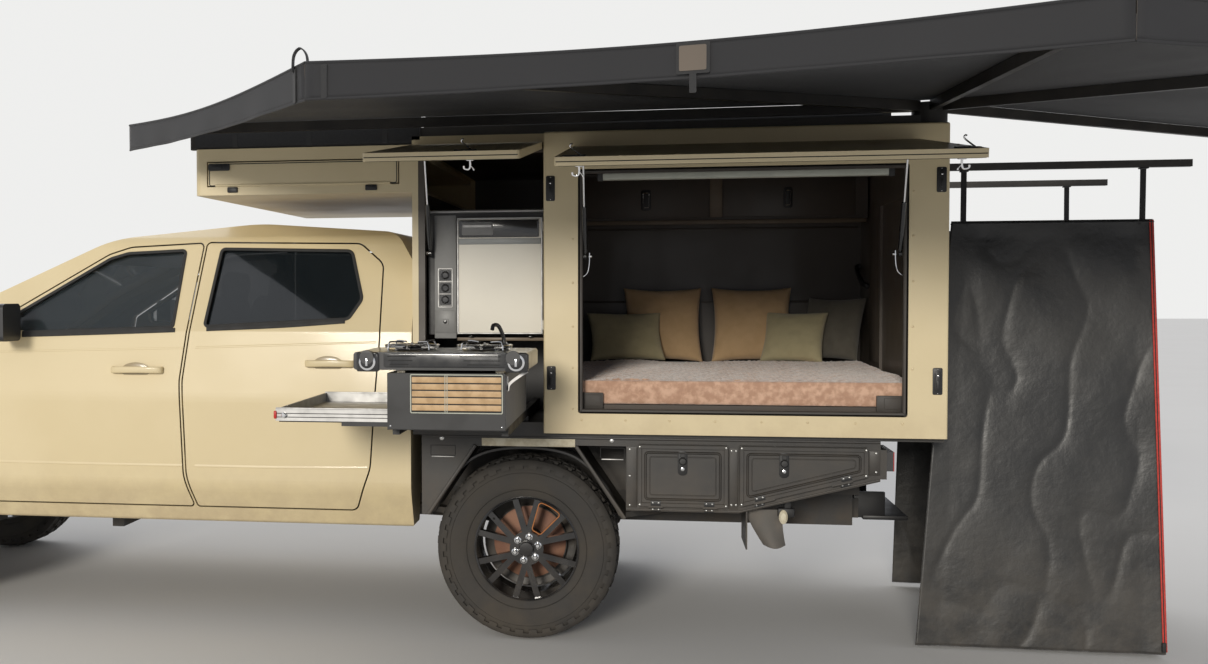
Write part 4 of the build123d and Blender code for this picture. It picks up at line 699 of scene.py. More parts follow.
def awningShapes(v):
    # gore: pivot + u * (edge point - pivot), lowered between its arms by sag * sin(pi v) * u^1.4
    pivot = np.array(v["pivot"])
    tips = np.array(v["tips"])
    gores, hangs, hems, area = [], [], [], 0.0
    for k, (a, b) in enumerate(zip(tips, tips[1:])):
        u = np.linspace(0.02, 1, 34)[:, None, None]
        w = np.linspace(0, 1, 42)[None, :, None]
        between = np.sin(np.pi * w)
        edge = a + (b - a) * w
        inward = unit(pivot - (a + b) / 2)
        edge = edge + inward * v["bow"] * between * np.array([1, 1, 0])
        p = pivot + (edge - pivot) * u
        crease = 0.0035 * np.sin(np.pi * w * 9 + k) * between * u ** 2
        p = p - np.array([0, 0, 1]) * (v["sag"] * between * u ** 1.4 + crease) + np.array([0, 0, v["lift"]])
        size = np.linalg.norm(b - a)
        uv = np.concatenate([w * u * size + 0 * u, u * 2.6 + 0 * w], -1)
        p, uv = p[:, ::-1], uv[:, ::-1]
        gores.append(gridShape(p, uv=uv))
        area += size * np.linalg.norm((a + b) / 2 - pivot) / 2
        # valance: the rim carried down, with shallow waves that grow toward its lower edge
        t = np.linspace(0, 1, 60)[None, :, None]
        h = np.linspace(0, 1, 9)[:, None, None]
        bow = np.sin(np.pi * t)
        rim = a + (b - a) * t + inward * v["bow"] * bow * np.array([1, 1, 0])
        rim = rim - np.array([0, 0, 1]) * v["sag"] * bow * 0.9 + np.array([0, 0, v["lift"]])
        along = unit(b - a)
        out = unit(np.cross(along, [0, 0, 1.0]))
        out = out * np.sign(np.dot(out, a - pivot))
        wave = 0.0032 * np.sin(t * 17 + k * 2) * h + 0.0018 * np.sin(t * 41 + k) * h
        drop = v["valance"] - v["sag"] * bow * 0.55
        q = rim - np.array([0, 0, 1]) * h * drop + out * (0.004 + wave)
        uvHang = np.concatenate([t * size + 0 * h, h * v["valance"] + 0 * t], -1)
        hangs.append(gridShape(q, uv=uvHang))
        area += size * v["valance"]
        hems.append(carried(slab(0.005, 0.009, 0.002, 2), q[-1], up=(0, 0, 1)))
        hems.append(carried(circle(0.0045, 8), q[0] + np.array([0, 0, 0.001]), up=(0, 0, 1)))
    return gores, hangs, hems, area


def awningExtras(v):
    # flat pieces sewn on the valance: the place is measured along one edge, with the height of its middle
    tips = np.array(v["tips"])

    def sewn(k, share, z, wide, high, out, deep, radius):
        a, b = tips[k], tips[k + 1]
        along = unit((b - a) * [1, 1, 0])
        away = np.cross(along, [0, 0, 1.0])
        away = away * np.sign(np.dot(away, a - np.array(v["pivot"])))
        inward = v["bow"] * math.sin(math.pi * share)
        p = a + (b - a) * share + away * (out - inward)
        p[2] = z
        return carried(slab(wide, high, radius, 4), [p, p + away * deep])
    loop = np.array([(0, 0, -0.020), (0.004, 0, 0.030), (0.024, 0, 0.052), (0.044, 0, 0.030),
                     (0.048, 0, -0.020)])
    place = tips[1] + np.array([-0.055, 0.05, 0.006])
    straps = [carried(slab(0.004, 0.022, 0.001, 2), smoothLine(loop + place, 24), up=(0, 1, 0)),
              sewn(1, 0.531, 2.072, 0.018, 0.050, 0.0105, 0.003, 0.002)]
    binding = [sewn(1, 0.531, 2.138, 0.088, 0.082, 0.0095, 0.003, 0.004),
               sewn(0, 0.965, 2.150, 0.020, 0.100, 0.0080, 0.004, 0.003),
               sewn(1, 0.030, 2.150, 0.020, 0.100, 0.0080, 0.004, 0.003)]
    panel = [sewn(1, 0.531, 2.138, 0.072, 0.066, 0.0125, 0.002, 0.004)]
    return {"webbing": straps + binding, "awningTop": panel}


gores, hangs, hems, awningArea = awningShapes(awningValues)
awning = makePiece("awningCloth", {"awningTop": gores + hangs}, "vehicle", outside=False,
                   sharp=60)
awning.data.materials.append(finishes["awningUnder"])
cloth = awning.modifiers.new("thickness", "SOLIDIFY")
cloth.thickness = 0.0016
cloth.material_offset = 1
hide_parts("awning_fabric")
trim = awningExtras(awningValues)
awningHem = makePiece("awningHem",
                      {"awningUnder": hems, "webbing": trim["webbing"], "awningTop": trim["awningTop"]},
                      "vehicle")
print("awning done, area", round(awningArea, 2))

# Shower cubicle

curtainValues = dict(topZ=1.815, footZ=0.018, thick=0.0015, spans=(0.33, 0.37, 0.30),
                     zipLine=((2.625, -0.7915, 0.03), (2.600, -0.6475, 1.812)),
                     straps=((2.560, -0.646), (2.560, 0.361), (1.850, -0.646), (1.850, 0.361)),
                     top=((1.800, -0.646), (2.600, -0.646), (2.600, 0.361), (1.800, 0.361)),
                     foot=((1.640, -0.790), (2.625, -0.790), (2.625, 0.421), (1.760, 0.421)))


def curtainShape(v):
    # three walls along a path; a point is foot + h * (top - foot), pushed off the wall by crossing creases
    top, foot = np.array(v["top"]), np.array(v["foot"])
    s = np.linspace(0, 1, 300)
    knots = np.concatenate([[0], np.cumsum(v["spans"])])
    along = lambda pts: np.stack([np.interp(s, knots, pts[:, i]) for i in (0, 1)], -1)
    h = np.linspace(0, 1, 150)[:, None, None]
    flat = along(foot)[None] * (1 - h) + along(top)[None] * h
    z = v["footZ"] + (v["topZ"] - v["footZ"]) * h * np.ones((1, len(s), 1))
    p = np.concatenate([flat, z], -1)
    corner = np.minimum.reduce([np.abs(s - k) for k in knots])[None, :]
    calm = np.clip(corner / 0.03, 0, 1) * np.clip((1 - h[..., 0]) / 0.04, 0, 1)
    inward = np.stack([np.where((s > knots[1]) & (s < knots[2]), -1.0, 0.0),
                       np.where(s <= knots[1], 1.0, np.where(s >= knots[2], -1.0, 0.0)), 0 * s], -1)
    length = np.interp(s, knots, [0, 0.9, 2.0, 2.85])[None, :]
    place = np.stack([length + 0 * h[..., 0], z[..., 0]], -1)
    slanting = np.sin((place[..., 0] * 0.9 + place[..., 1]) * 10 + 2.6 * ripple(place, 2.0, 5))
    crease = 1 - np.abs(ripple(place * [1.0, 0.7] @ turn("Z", 35)[:2, :2].T, 9, 8))
    fine = ripple(place, 22, 9)
    push = (0.005 + 0.004 * slanting * h[..., 0] + 0.0045 * crease ** 6 + 0.0010 * fine) * calm
    p = p + inward[None] * np.clip(push, 0.0, 0.0135)[..., None]
    uv = np.stack([length + 0 * z[..., 0], z[..., 0]], -1)
    return gridShape(p, uv=uv)


curtain = makePiece("showerCurtain", {"curtainCloth": [curtainShape(curtainValues)]}, "vehicle",
                    thickness=curtainValues["thick"], outside=False, sharp=60)
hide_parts("shower_curtain")


def curtainTrim(v):
    # red zip up the near rear corner, hems, and webbing straps up to the two bars
    low, high = np.array(v["zipLine"])
    h = np.linspace(0, 1, 40)[:, None]
    line = low + (high - low) * h
    tape = carried(slab(0.016, 0.002, 0.0008, 2), line + np.array([-0.008, -0.002, 0]), up=(0, 1, 0))
    teeth = carried(slab(0.004, 0.0016, 0.0006, 2), line + np.array([-0.008, -0.0035, 0]), up=(0, 1, 0))
    side = carried(slab(0.002, 0.016, 0.0008, 2), line + np.array([0.002, 0.008, 0]), up=(0, 1, 0))
    straps = []
    for x, y in v["straps"]:
        inner = 0.005 if y < 0 else -0.005
        over = np.array([(x, y + inner, 1.79), (x, y + inner, 1.83), (x, y + inner * 0.6, 1.93),
                         (x, y + inner * 0.4, 2.028)])
        straps.append(carried(slab(0.024, 0.0025, 0.001, 2), smoothLine(over, 14), up=(0, 1, 0)))
        straps.append(block((x - 0.016, y - 0.018, 2.024), (x + 0.016, y + 0.018, 2.0295), 0.002))
        straps.append(block((x - 0.02, y + inner - 0.005, 1.79), (x + 0.02, y + inner + 0.005, 1.805), 0.003))
    hem = carried(slab(0.004, 0.03, 0.0015, 2),
                  smoothLine([(1.80, -0.645, 1.803), (2.1, -0.645, 1.803), (2.6, -0.645, 1.803)], 20),
                  up=(0, 1, 0))
    pull = block((2.605, -0.80, 0.03), (2.622, -0.79, 0.07), 0.003)
    return {"zipRed": [tape, side], "rubber": [teeth, pull], "webbing": straps + [hem]}


curtainEdges = makePiece("showerStraps", curtainTrim(curtainValues), "vehicle")
print("shower cubicle done")

# Bed

bedValues = dict(low=(0.146, -0.934, 1.0405), high=(1.654, 0.929, 1.134), blanketTop=1.142,
                 blanketEnds=(0.150, 1.650), blanketFront=-0.9405, fall=0.085, spread=1.52)


def blanketShape(v):
    # spread over the mattress: height falls at the rim by a quarter round, with pile and slow waves added
    start, end = v["blanketEnds"]
    front, fall, top = v["blanketFront"], v["fall"], v["blanketTop"]
    x = np.linspace(start, end, 205)
    s = np.linspace(0, 1, 230) * (fall + v["spread"])
    bend = np.clip((s - fall + 0.02) / 0.04, 0, 1)
    y = np.where(s < fall, front,
                 front + (s - fall)) + np.where(np.abs(s - fall) < 0.02, 0.004 * np.sin(np.pi * bend), 0)
    z = np.where(s < fall - 0.02, top - 0.014 - (fall - s), top - 0.03 * (1 - np.sin(bend * np.pi / 2)) ** 2)
    x, y, z, s = (np.broadcast_to(a, (len(s), len(x))) for a in (x, y[:, None], z[:, None], s[:, None]))
    p, flat = np.stack([x, y, z], -1), np.stack([x, s], -1)
    p[..., 2] -= 0.05 * np.exp(-np.minimum(x - start, end - x) / 0.012) * (s > fall)
    pile = 0.0045 * ripple(flat, 120, 11) + 0.003 * ripple(flat, 240, 12)
    slow = 0.007 * ripple(flat, 7, 13)
    level = s > fall + 0.02
    p[..., 2] += (pile + slow) * level
    p[..., 1] += (0.5 * pile + 0.3 * slow) * ~level
    return gridShape(p, uv=flat)


blanket = makePiece("blanket", {"plush": [blanketShape(bedValues)]}, "vehicle", thickness=0.005,
                    outside=False, sharp=80)
bedLow, bedHigh = np.array(bedValues["low"]), np.array(bedValues["high"])
mattress = makePiece("mattress", {"mattressCloth": [puff((bedLow + bedHigh) / 2 + np.array([0, 0, -0.004]),
    (bedHigh - bedLow) / 2 - np.array([0.002, 0.012, 0.006]), 0.12, 16, 60)]}, "vehicle")
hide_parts("cushions")
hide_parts("cushions")


def pillowShape(centre, wide, high, thick, lean, twist=0.0, seed=1):
    # two faces of thickness t = (1 - u^2)^0.5 * (1 - w^2)^0.5, with the sides drawn in between the corners
    n = 34
    u = np.linspace(-1, 1, n)[None, :]
    w = np.linspace(-1, 1, n)[:, None]
    pull = 0.09
    px = u * wide / 2 * (1 - pull * (1 - w ** 2))
    pz = w * high / 2 * (1 - pull * (1 - u ** 2))
    deep = thick / 2 * (np.clip(1 - u ** 2, 0, 1) ** 0.42) * (np.clip(1 - w ** 2, 0, 1) ** 0.42)
    flat = np.stack([px, pz], -1)
    wrinkle = 0.004 * ripple(flat, 22, seed) + 0.0025 * ripple(flat, 60, seed + 1)
    faces = []
    for way in (-1, 1):
        q = np.stack([px, way * (deep + wrinkle * (deep > 1e-4)), pz], -1)
        q = q @ turn("X", lean).T @ turn("Z", twist).T + np.asarray(centre)
        faces.append(gridShape(q if way < 0 else q[:, ::-1], uv=flat if way < 0 else flat[:, ::-1]))
    return faces


# Pillows: name, finish, centre, width, height, thickness, lean back, twist
pillows = [
    ("pillowFarLeft", "pillowApricot", (0.600, 0.815, 1.330), 0.44, 0.43, 0.16, -13, 3),
    ("pillowFarMiddle", "pillowApricot", (1.080, 0.815, 1.330), 0.44, 0.43, 0.16, -13, -2),
    ("pillowNearLeft", "pillowOlive", (0.400, 0.650, 1.270), 0.42, 0.29, 0.13, -26, 12),
    ("pillowNearRight", "pillowOlive", (1.290, 0.660, 1.268), 0.34, 0.30, 0.13, -26, -20),
    ("pillowCorner", "pillowShade", (1.500, 0.740, 1.310), 0.34, 0.36, 0.14, -18, -34),
]
for k, (name, finish, centre, wide, high, thick, lean, twist) in enumerate(pillows):
    pillow = makePiece(name, {finish: pillowShape(centre, wide, high, thick, lean, twist, 20 + 3 * k)},
                       "vehicle", weld=0.0008, sharp=80, smoothing=1)
    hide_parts("cushions")
print("bed done")

# Seats in the cab

seatValues = dict(front=((-2.020, -0.390, 0.500), (-2.020, 0.390, 0.500)), rear=(-1.195, 0.0, 1.300))


def seatShapes(x, y, wide):
    # pads are superellipsoids, the frame is a rounded block, and each headrest stands on two turned posts
    cushion = puff((x + 0.25, y, 0.86), (0.25, wide / 2 - 0.004, 0.095), 0.3, 16, 36)
    base = block((x + 0.02, y - wide / 2 + 0.03, 0.662), (x + 0.48, y + wide / 2 - 0.03, 0.80), 0.02)
    back = puff((x + 0.47, y, 1.20), (0.065, wide / 2 - 0.006, 0.30), 0.35, 20, 36, tilt=turn("Y", 7))
    shifts = (0,) if wide < 0.8 else (-0.38, 0.38)
    heads = [puff((x + 0.545, y + shift, 1.545), (0.045, 0.125, 0.075), 0.5, 12, 20, tilt=turn("Y", 8))
             for shift in shifts]
    posts = [turned([(0.007, 0), (0.007, 0.16)], (x + 0.52, y + shift + d, 1.40), (0.1, 0, 1), 8)
             for shift in shifts for d in (-0.05, 0.05)]
    return [cushion, back] + heads, [base], posts


for name, place in (("seatDriver", seatValues["front"][0]), ("seatPassenger", seatValues["front"][1]),
                    ("seatBench", seatValues["rear"])):
    soft, hard, posts = seatShapes(*place)
    seat = makePiece(name, {"seatCloth": soft, "cabTrim": hard, "chrome": posts}, "vehicle",
                     sharp=60)
    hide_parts("seats")
print("seats done")

# Small fittings. Each entry is a named piece on one body.


def span(a, b, radius, count=14, edge=0.0):
    # a round bar between two places, with an optional bevel at both ends
    a, b = np.asarray(a, float), np.asarray(b, float)
    length = np.linalg.norm(b - a)
    rows = [(radius, 0), (radius, length)]
    if edge:
        rows = [(radius - edge, 0), (radius, edge), (radius, length - edge), (radius - edge, length)]
    return turned(rows, a, b - a, count)


def plate(x, z, y, out, radius=0.004, bevel=0.0012, side=-1):
    # a rounded rectangle that faces sideways and stands out from y
    wide, high = abs(x[1] - x[0]), abs(z[1] - z[0])
    edge = 1 - 2 * bevel / min(wide, high)
    middle = (sum(x) / 2, sum(z) / 2)
    path = [(middle[0], y + side * reach, middle[1]) for reach in (0, out - bevel, out)]
    return carried(slab(wide, high, radius, 4), path, widths=(1, 1, edge))


def strip(rows, y, wide, deep, radius=0.001, steps=5):
    # a strip at y along a closed outline of (x, z, corner radius)
    ring = roundedRing(rows, steps)
    path = np.stack([ring[:, 0], np.full(len(ring), y), ring[:, 1]], -1)
    return carried(slab(wide, deep, radius, 2), path, up=(0, 1, 0), closed=True)


def boxRows(x, z, radius):
    return [(x[0], z[0], radius), (x[1], z[0], radius), (x[1], z[1], radius), (x[0], z[1], radius)]


def onSide(shapes, side):
    # fittings are made for the left side: for the right one, y changes its sign
    if side < 0:
        return shapes
    return {finish: [(p * [1, -1, 1], f, uv) for p, f, uv in items] for finish, items in shapes.items()}


def studs(places, radius):
    # rivet heads that face the left side
    return domes(np.array(places, float), (0, -1, 0), radius, 0.0025)


# The frame round the bed's opening
sideValues = dict(face=-1.010, opening=((0.230, 1.560), (1.006, 2.035)), gasket=0.020, rivet=0.0055)


def sideFrame(v):
    # gasket, latch boxes, rivets, four latches, and the rail with its end brackets inside the opening
    (x0, x1), (z0, z1) = v["opening"]
    half = v["gasket"] / 2
    face = v["face"]
    gasket = [strip(boxRows((x0 + half, x1 - half), (z0 + half, z1 - half), 0.004), face + 0.008, v["gasket"],
                    0.017, 0.004, 3), strip(boxRows((x0 + 0.006, x1 - 0.006), (z0 + 0.006, z1 - 0.006), 0.003),
                                            face + 0.0025, 0.009, 0.006, 0.0025, 3)]
    blocks = []
    # latch boxes, deep enough in the wall for the hooks of the shut hatch
    for a, b in (((0.228, 0.334), (1.004, 1.091)), ((1.447, 1.562), (1.004, 1.089))):
        blocks.append(plate(a, b, face + 0.060, 0.014, 0.004))
        blocks.append(strip(boxRows((a[0] + 0.030, a[1] - 0.009), (b[0] + 0.030, b[1] - 0.009), 0.003),
                            face + 0.0462, 0.0022, 0.002))
    rivets = [(0.209, z) for z in (1.025, 1.199, 1.373, 1.558, 1.742)]
    rivets += [(1.577, z) for z in (1.202, 1.374, 1.558, 1.741, 1.92)]
    rivets += [(x, 0.979) for x in (0.246, 0.429, 0.611, 0.797, 0.984, 1.169, 1.357, 1.541)]
    rivets += [(x, 2.062) for x in (0.30, 0.52, 0.74, 0.96, 1.18, 1.40)]
    latches, levers, pins = [], [], []
    for a, b in (((0.096, 0.134), (1.903, 2.009)), ((0.099, 0.137), (1.105, 1.206)),
                 ((1.664, 1.702), (1.915, 2.016)), ((1.655, 1.693), (1.099, 1.208))):
        middle = ((a[0] + a[1]) / 2, (b[0] + b[1]) / 2)
        latches.append(plate(a, b, face + 0.001, 0.004, 0.006))
        levers.append(plate((a[0] + 0.007, a[1] - 0.007), (b[0] + 0.012, b[1] - 0.012), face + 0.001, 0.011,
                            0.010, 0.003))
        levers.append(plate((middle[0] - 0.006, middle[0] + 0.006), (b[0] + 0.02, middle[1] + 0.005),
                            face + 0.001, 0.016, 0.005, 0.002))
        pins.append(studs([(middle[0], face - 0.010, middle[1] + dz) for dz in (-0.02, 0.022)], radius=0.0045))
        pins.append(studs([(middle[0], face - 0.003, b[0] + 0.006), (middle[0], face - 0.003, b[1] - 0.006)],
                          radius=0.003))
    header = [carried(slab(0.030, 0.040, 0.008, 4), [(0.315, -0.972, 2.008), (1.503, -0.972, 2.008)])]
    ends = [block((x - 0.012, -0.990, 1.985), (x + 0.012, -0.954, 2.034), 0.004) for x in (0.322, 1.496)]
    brackets = []
    for x0, way in ((0.232, 1), (1.558, -1)):
        line = [(x0, -0.975, 1.583), (x0 + way * 0.020, -0.975, 1.585), (x0 + way * 0.037, -0.975, 1.602),
                (x0 + way * 0.044, -0.975, 1.640), (x0 + way * 0.045, -0.975, 1.684)]
        brackets.append(carried(slab(0.004, 0.016, 0.001, 2), smoothLine(line, 24), up=(0, 1, 0)))
        brackets.append(span((x0 + way * 0.040, -0.975, 1.670), (x0 + way * 0.056, -0.975, 1.670), 0.0075, 14,
                             0.002))
        brackets.append(carried(slab(0.004, 0.016, 0.001, 2),
                                [(x0 + way * 0.001, -0.975, 1.575), (x0 + way * 0.001, -0.975, 1.684)],
                                up=(0, 1, 0)))
    return {"gasketBrown": gasket + blocks,
            "sandRivet": [studs([(x, face + 0.0002, z) for x, z in rivets], radius=v["rivet"])],
            "blackSatin": latches + levers, "chrome": pins + brackets, "paleRail": header, "blackPlastic": ends}


makePiece("bedOpeningFrame", sideFrame(sideValues), "vehicle")


# The two lifting hatches: places are (along x, from the hinge to the free edge, out of the inner face)
hatchValues = dict(main=dict(hinge=(-1.015, 2.100), x=(0.210, 1.595), length=1.105, rim=0.045),
                   kitchen=dict(hinge=(-0.955, 2.130), x=(-0.487, 0.078), length=1.000, rim=0.045))


def onHatch(v, shapes):
    # the plane of the hatch turned up round its hinge, to where it stands open at rest
    swing = math.radians(82)
    y, z = v["hinge"]
    place = np.column_stack([[1, 0, 0], [0, -math.sin(swing), -math.cos(swing)],
                             [0, -math.cos(swing), math.sin(swing)]])
    return {finish: [moved(s, place, (0, y, z)) for s in items] for finish, items in shapes.items()}


def flatStrip(x, t, n, wide, deep):
    # a strip along a rounded rectangle in the plane of the hatch, n out of its inner face
    ring = roundedRing(boxRows(x, t, 0.01), 4)
    path = np.stack([ring[:, 0], ring[:, 1], np.full(len(ring), n)], -1)
    return carried(slab(wide, deep, 0.001, 2), path, closed=True)


def hatchDress(v, hooks, ribs):
    # a dark lining on the inner face as painted shade, seals, edge rivets, levers with their hooks, and the
    # ribs of the lining
    (x0, x1), end, rim = v["x"], v["length"] + 0.003, v["rim"]
    # the lining's dark finish is painted shade for the hatch's shaded underside
    lining = [block((x0 + rim + 0.001, 0.003 + rim + 0.001, 0.0012),
                    (x1 - rim - 0.001, end - rim - 0.001, 0.0056), 0.0015)]
    seal = [flatStrip((x0 + rim * 0.45, x1 - rim * 0.45), (0.012 + rim * 0.45, end - rim * 0.45), -0.0006,
                      0.011, 0.0022), flatStrip((x0 + rim * 0.5, x1 - rim * 0.5),
                                                (0.006 + rim * 0.5, end - rim * 0.5), -0.0004, rim * 0.94,
                                                0.0024)]
    rivetRows = (((x0 + 0.03, end - 0.012, 0.0298), (x1 - 0.03, end - 0.012, 0.0298)),
                 ((x0 + 0.012, 0.06, 0.0298), (x0 + 0.012, end - 0.05, 0.0298)),
                 ((x1 - 0.012, 0.06, 0.0298), (x1 - 0.012, end - 0.05, 0.0298)))
    rivets = [domes(rowBetween(a, b, 0.18), (0, 0, 1), 0.0055, 0.0025) for a, b in rivetRows]
    groove = [carried(slab(0.0035, 0.0016, 0.0006, 2),
                      [(x0 + 0.006, end - 0.0002, 0.014), (x1 - 0.006, end - 0.0002, 0.014)], up=(0, 1, 0))]
    levers, silver = [], []
    for x, way in hooks:
        levers.append(block((x - 0.040, end - 0.062, 0.0298), (x + 0.040, end - 0.030, 0.0345), 0.002))
        line = [(x + 0.022, end - 0.045, 0.034), (x + 0.006, end - 0.045, 0.046),
                (x - 0.012, end - 0.046, 0.062), (x - 0.010, end - 0.046, 0.071),
                (x - 0.004, end - 0.046, 0.070)]
        silver.append(carried(circle(0.0028, 8), smoothLine(line, 24), up=(0, 1, 0)))
        middle, t = x + way * 0.017, end - 0.043
        silver.append(block((middle - 0.013, end - 0.052, -0.006), (middle + 0.013, end - 0.036, 0.0002),
                            0.002))
        line = [(middle, t, -0.004), (middle, t, -0.026), (middle - way * 0.007, t, -0.036),
                (middle - way * 0.021, t, -0.033), (middle - way * 0.023, t, -0.024)]
        silver.append(carried(slab(0.007, 0.006, 0.002, 3), smoothLine(line, 24), up=(0, 1, 0)))
        line = [(middle, t, -0.020), (middle + way * 0.011, t, -0.033), (middle + way * 0.013, t, -0.040)]
        silver.append(carried(circle(0.003, 8), smoothLine(line, 12), up=(0, 1, 0)))
    ribbing = [carried(slab(0.016, 0.003, 0.001, 2), [(x, 0.06, 0.0005), (x, end - 0.06, 0.0005)])
               for x in ribs]
    return onHatch(v, {"interiorDarkAndShade": lining, "rubber": seal + groove, "sandRivet": rivets,
                       "blackSatin": levers, "chrome": silver, "gasketBrown": ribbing})


makePiece("bedHatchFittings", hatchDress(hatchValues["main"], ((0.275, 1), (1.538, -1)), (0.66, 1.145)),
          "main_hatch")
makePiece("kitchenHatchFittings", hatchDress(hatchValues["kitchen"], ((-0.12, 1),), (-0.205,)), "kitchen_hatch")


# Inside the sleeping space
lockerValues = dict(doors=((0.150, 0.842), (0.916, 1.600)), doorHeights=(1.915, 2.140),
                    grips=(((0.481, 0.534), (1.955, 2.066)), ((1.231, 1.277), (1.959, 2.069))))


def bedSpace(v):
    # locker doors with their handles, the edges beside them, the grab bar, wall panels and seams; doors and
    # seams are dark brown darkened further as painted shade
    low, high = v["doorHeights"]
    fronts = [block((x0, 0.6435, low), (x1, 0.6505, high), 0.003) for x0, x1 in v["doors"]]
    edge = [block((0.140, 0.636, 1.878), (1.655, 0.6495, 1.900), 0.003),
            block((0.846, 0.640, low), (0.912, 0.6502, high), 0.003)]
    handles = [plate(x, z, 0.6438, 0.006, 0.012, 0.002) for x, z in v["grips"]]
    cups = [strip(boxRows((x[0] + 0.010, x[1] - 0.010), (z[0] + 0.016, z[1] - 0.016), 0.008), 0.638, 0.003,
                  0.003) for x, z in v["grips"]]
    bar = [carried(slab(0.022, 0.026, 0.008, 4),
                   smoothLine([(1.672, 0.64, 1.535), (1.652, 0.645, 1.548), (1.645, 0.70, 1.56),
                               (1.645, 0.86, 1.62), (1.652, 0.915, 1.645), (1.672, 0.92, 1.650)], 30))]
    panels = [block((1.6705, -0.930, 1.15), (1.6745, -0.36, 2.150), 0.0015),
              block((1.6705, 0.33, 1.15), (1.6745, 0.62, 1.895), 0.0015)]
    seams = [block((0.15, 0.9455, z), (1.66, 0.9495, z + 0.012), 0.002) for z in (1.45, 1.86)]
    return {"interiorDarkAndShade": fronts + seams, "interiorWarm": edge, "blackSatin": handles + bar, "chrome": cups,
            "interiorGrey": panels}


makePiece("lockerFronts", bedSpace(lockerValues), "vehicle")


# Kitchen: cabinet column, sockets, fridge front, rails
kitchenValues = dict(column=((-0.398, -0.306), (1.318, 1.855)), face=-0.885, fridge=-0.920)


def cabinetDress(v):
    # column panel, socket frame with three sockets, lock, and the rail and shelf over the fridge
    (x0, x1), (z0, z1) = v["column"]
    face = v["face"]
    column = [plate((x0 - 0.004, x1), (z0, z1), face + 0.002, 0.006, 0.002)]
    frame = [strip(boxRows((-0.385, -0.323), (1.455, 1.623), 0.004), face - 0.006, 0.005, 0.004)]
    frame += [carried(slab(0.003, 0.004, 0.001, 2), [(-0.385, face - 0.006, z), (-0.323, face - 0.006, z)])
              for z in (1.512, 1.567)]
    panel = [plate((-0.400, -0.311), (1.341, 1.440), face - 0.003, 0.004, 0.003),
             plate((-0.369, -0.341), (1.377, 1.403), face - 0.006, 0.004, 0.003)]
    sockets, rings = [], []
    for z in (1.594, 1.538, 1.487):
        sockets.append(plate((-0.379, -0.330), (z - 0.022, z + 0.022), face - 0.003, 0.003, 0.004))
        sockets.append(turned([(0.0155, 0), (0.0155, 0.005), (0.012, 0.006), (0.011, 0.003)],
                              (-0.3545, face - 0.005, z), (0, -1, 0), 20))
        rings.append(turned([(0.0165, 0), (0.018, 0.002), (0.0185, 0)], (-0.3545, face - 0.006, z), (0, -1, 0),
                            24))
    lock = [turned([(0.008, 0), (0.008, 0.004), (0.005, 0.005)], (-0.355, face - 0.0095, 1.390), (0, -1, 0),
                   16)]
    rail = [span((-0.430, face - 0.004, 1.871), (0.076, face - 0.004, 1.871), 0.0075, 14, 0.001)]
    shelf = [block((-0.446, -0.884, 1.8665), (0.080, -0.872, 1.880), 0.003)]
    feet = [block((x - 0.008, -0.8845, 1.324), (x + 0.008, -0.9155, 1.330), 0.0015) for x in (-0.24, 0.02)]
    under = [block((-0.302, -0.890, 1.308), (0.080, -0.8795, 1.322), 0.002)]
    return {"greyPanel": column + panel, "aluminium": frame + rings + rail,
            "enamelBlack": sockets + lock + feet, "interiorWarm": shelf + under}


makePiece("kitchenColumn", cabinetDress(kitchenValues), "vehicle")


def fridgeDress(v):
    # dark strip with its grip recess, lip, band, metal edge, and the seal behind the door
    y = v["fridge"]
    strips = [plate((-0.289, 0.058), (1.757, 1.832), y + 0.004, 0.0065, 0.004)]
    recess = [plate((-0.276, -0.140), (1.766, 1.822), y, 0.0045, 0.006, 0.002)]
    lip = [carried(slab(0.008, 0.016, 0.003, 3), [(-0.270, y - 0.007, 1.806), (-0.146, y - 0.007, 1.806)])]
    band = [block((-0.2905, y + 0.003, 1.727), (0.0665, y - 0.0008, 1.752), 0.0015)]
    trim = [strip(boxRows((-0.2945, 0.0705), (1.3415, 1.8385), 0.004), y + 0.0015, 0.006, 0.005)]
    top = [span((-0.288, y + 0.008, 1.8385), (0.060, y + 0.008, 1.8385), 0.0045, 10)]
    seal = [strip(boxRows((-0.290, 0.066), (1.346, 1.834), 0.004), -0.888, 0.010, 0.006, 0.002)]
    return {"enamelBlack": strips + seal, "greyPanel": recess, "aluminium": lip + trim + top,
            "fridgeBand": band}


makePiece("fridgeFittings", fridgeDress(kitchenValues), "fridge_door")


hobValues = dict(slots=(1.287, 1.272, 1.257), knobs=((-0.500, -1.8195, 1.266), (0.052, -1.8195, 1.266)),
                 burners=((-0.370, -1.610), (-0.090, -1.610)))


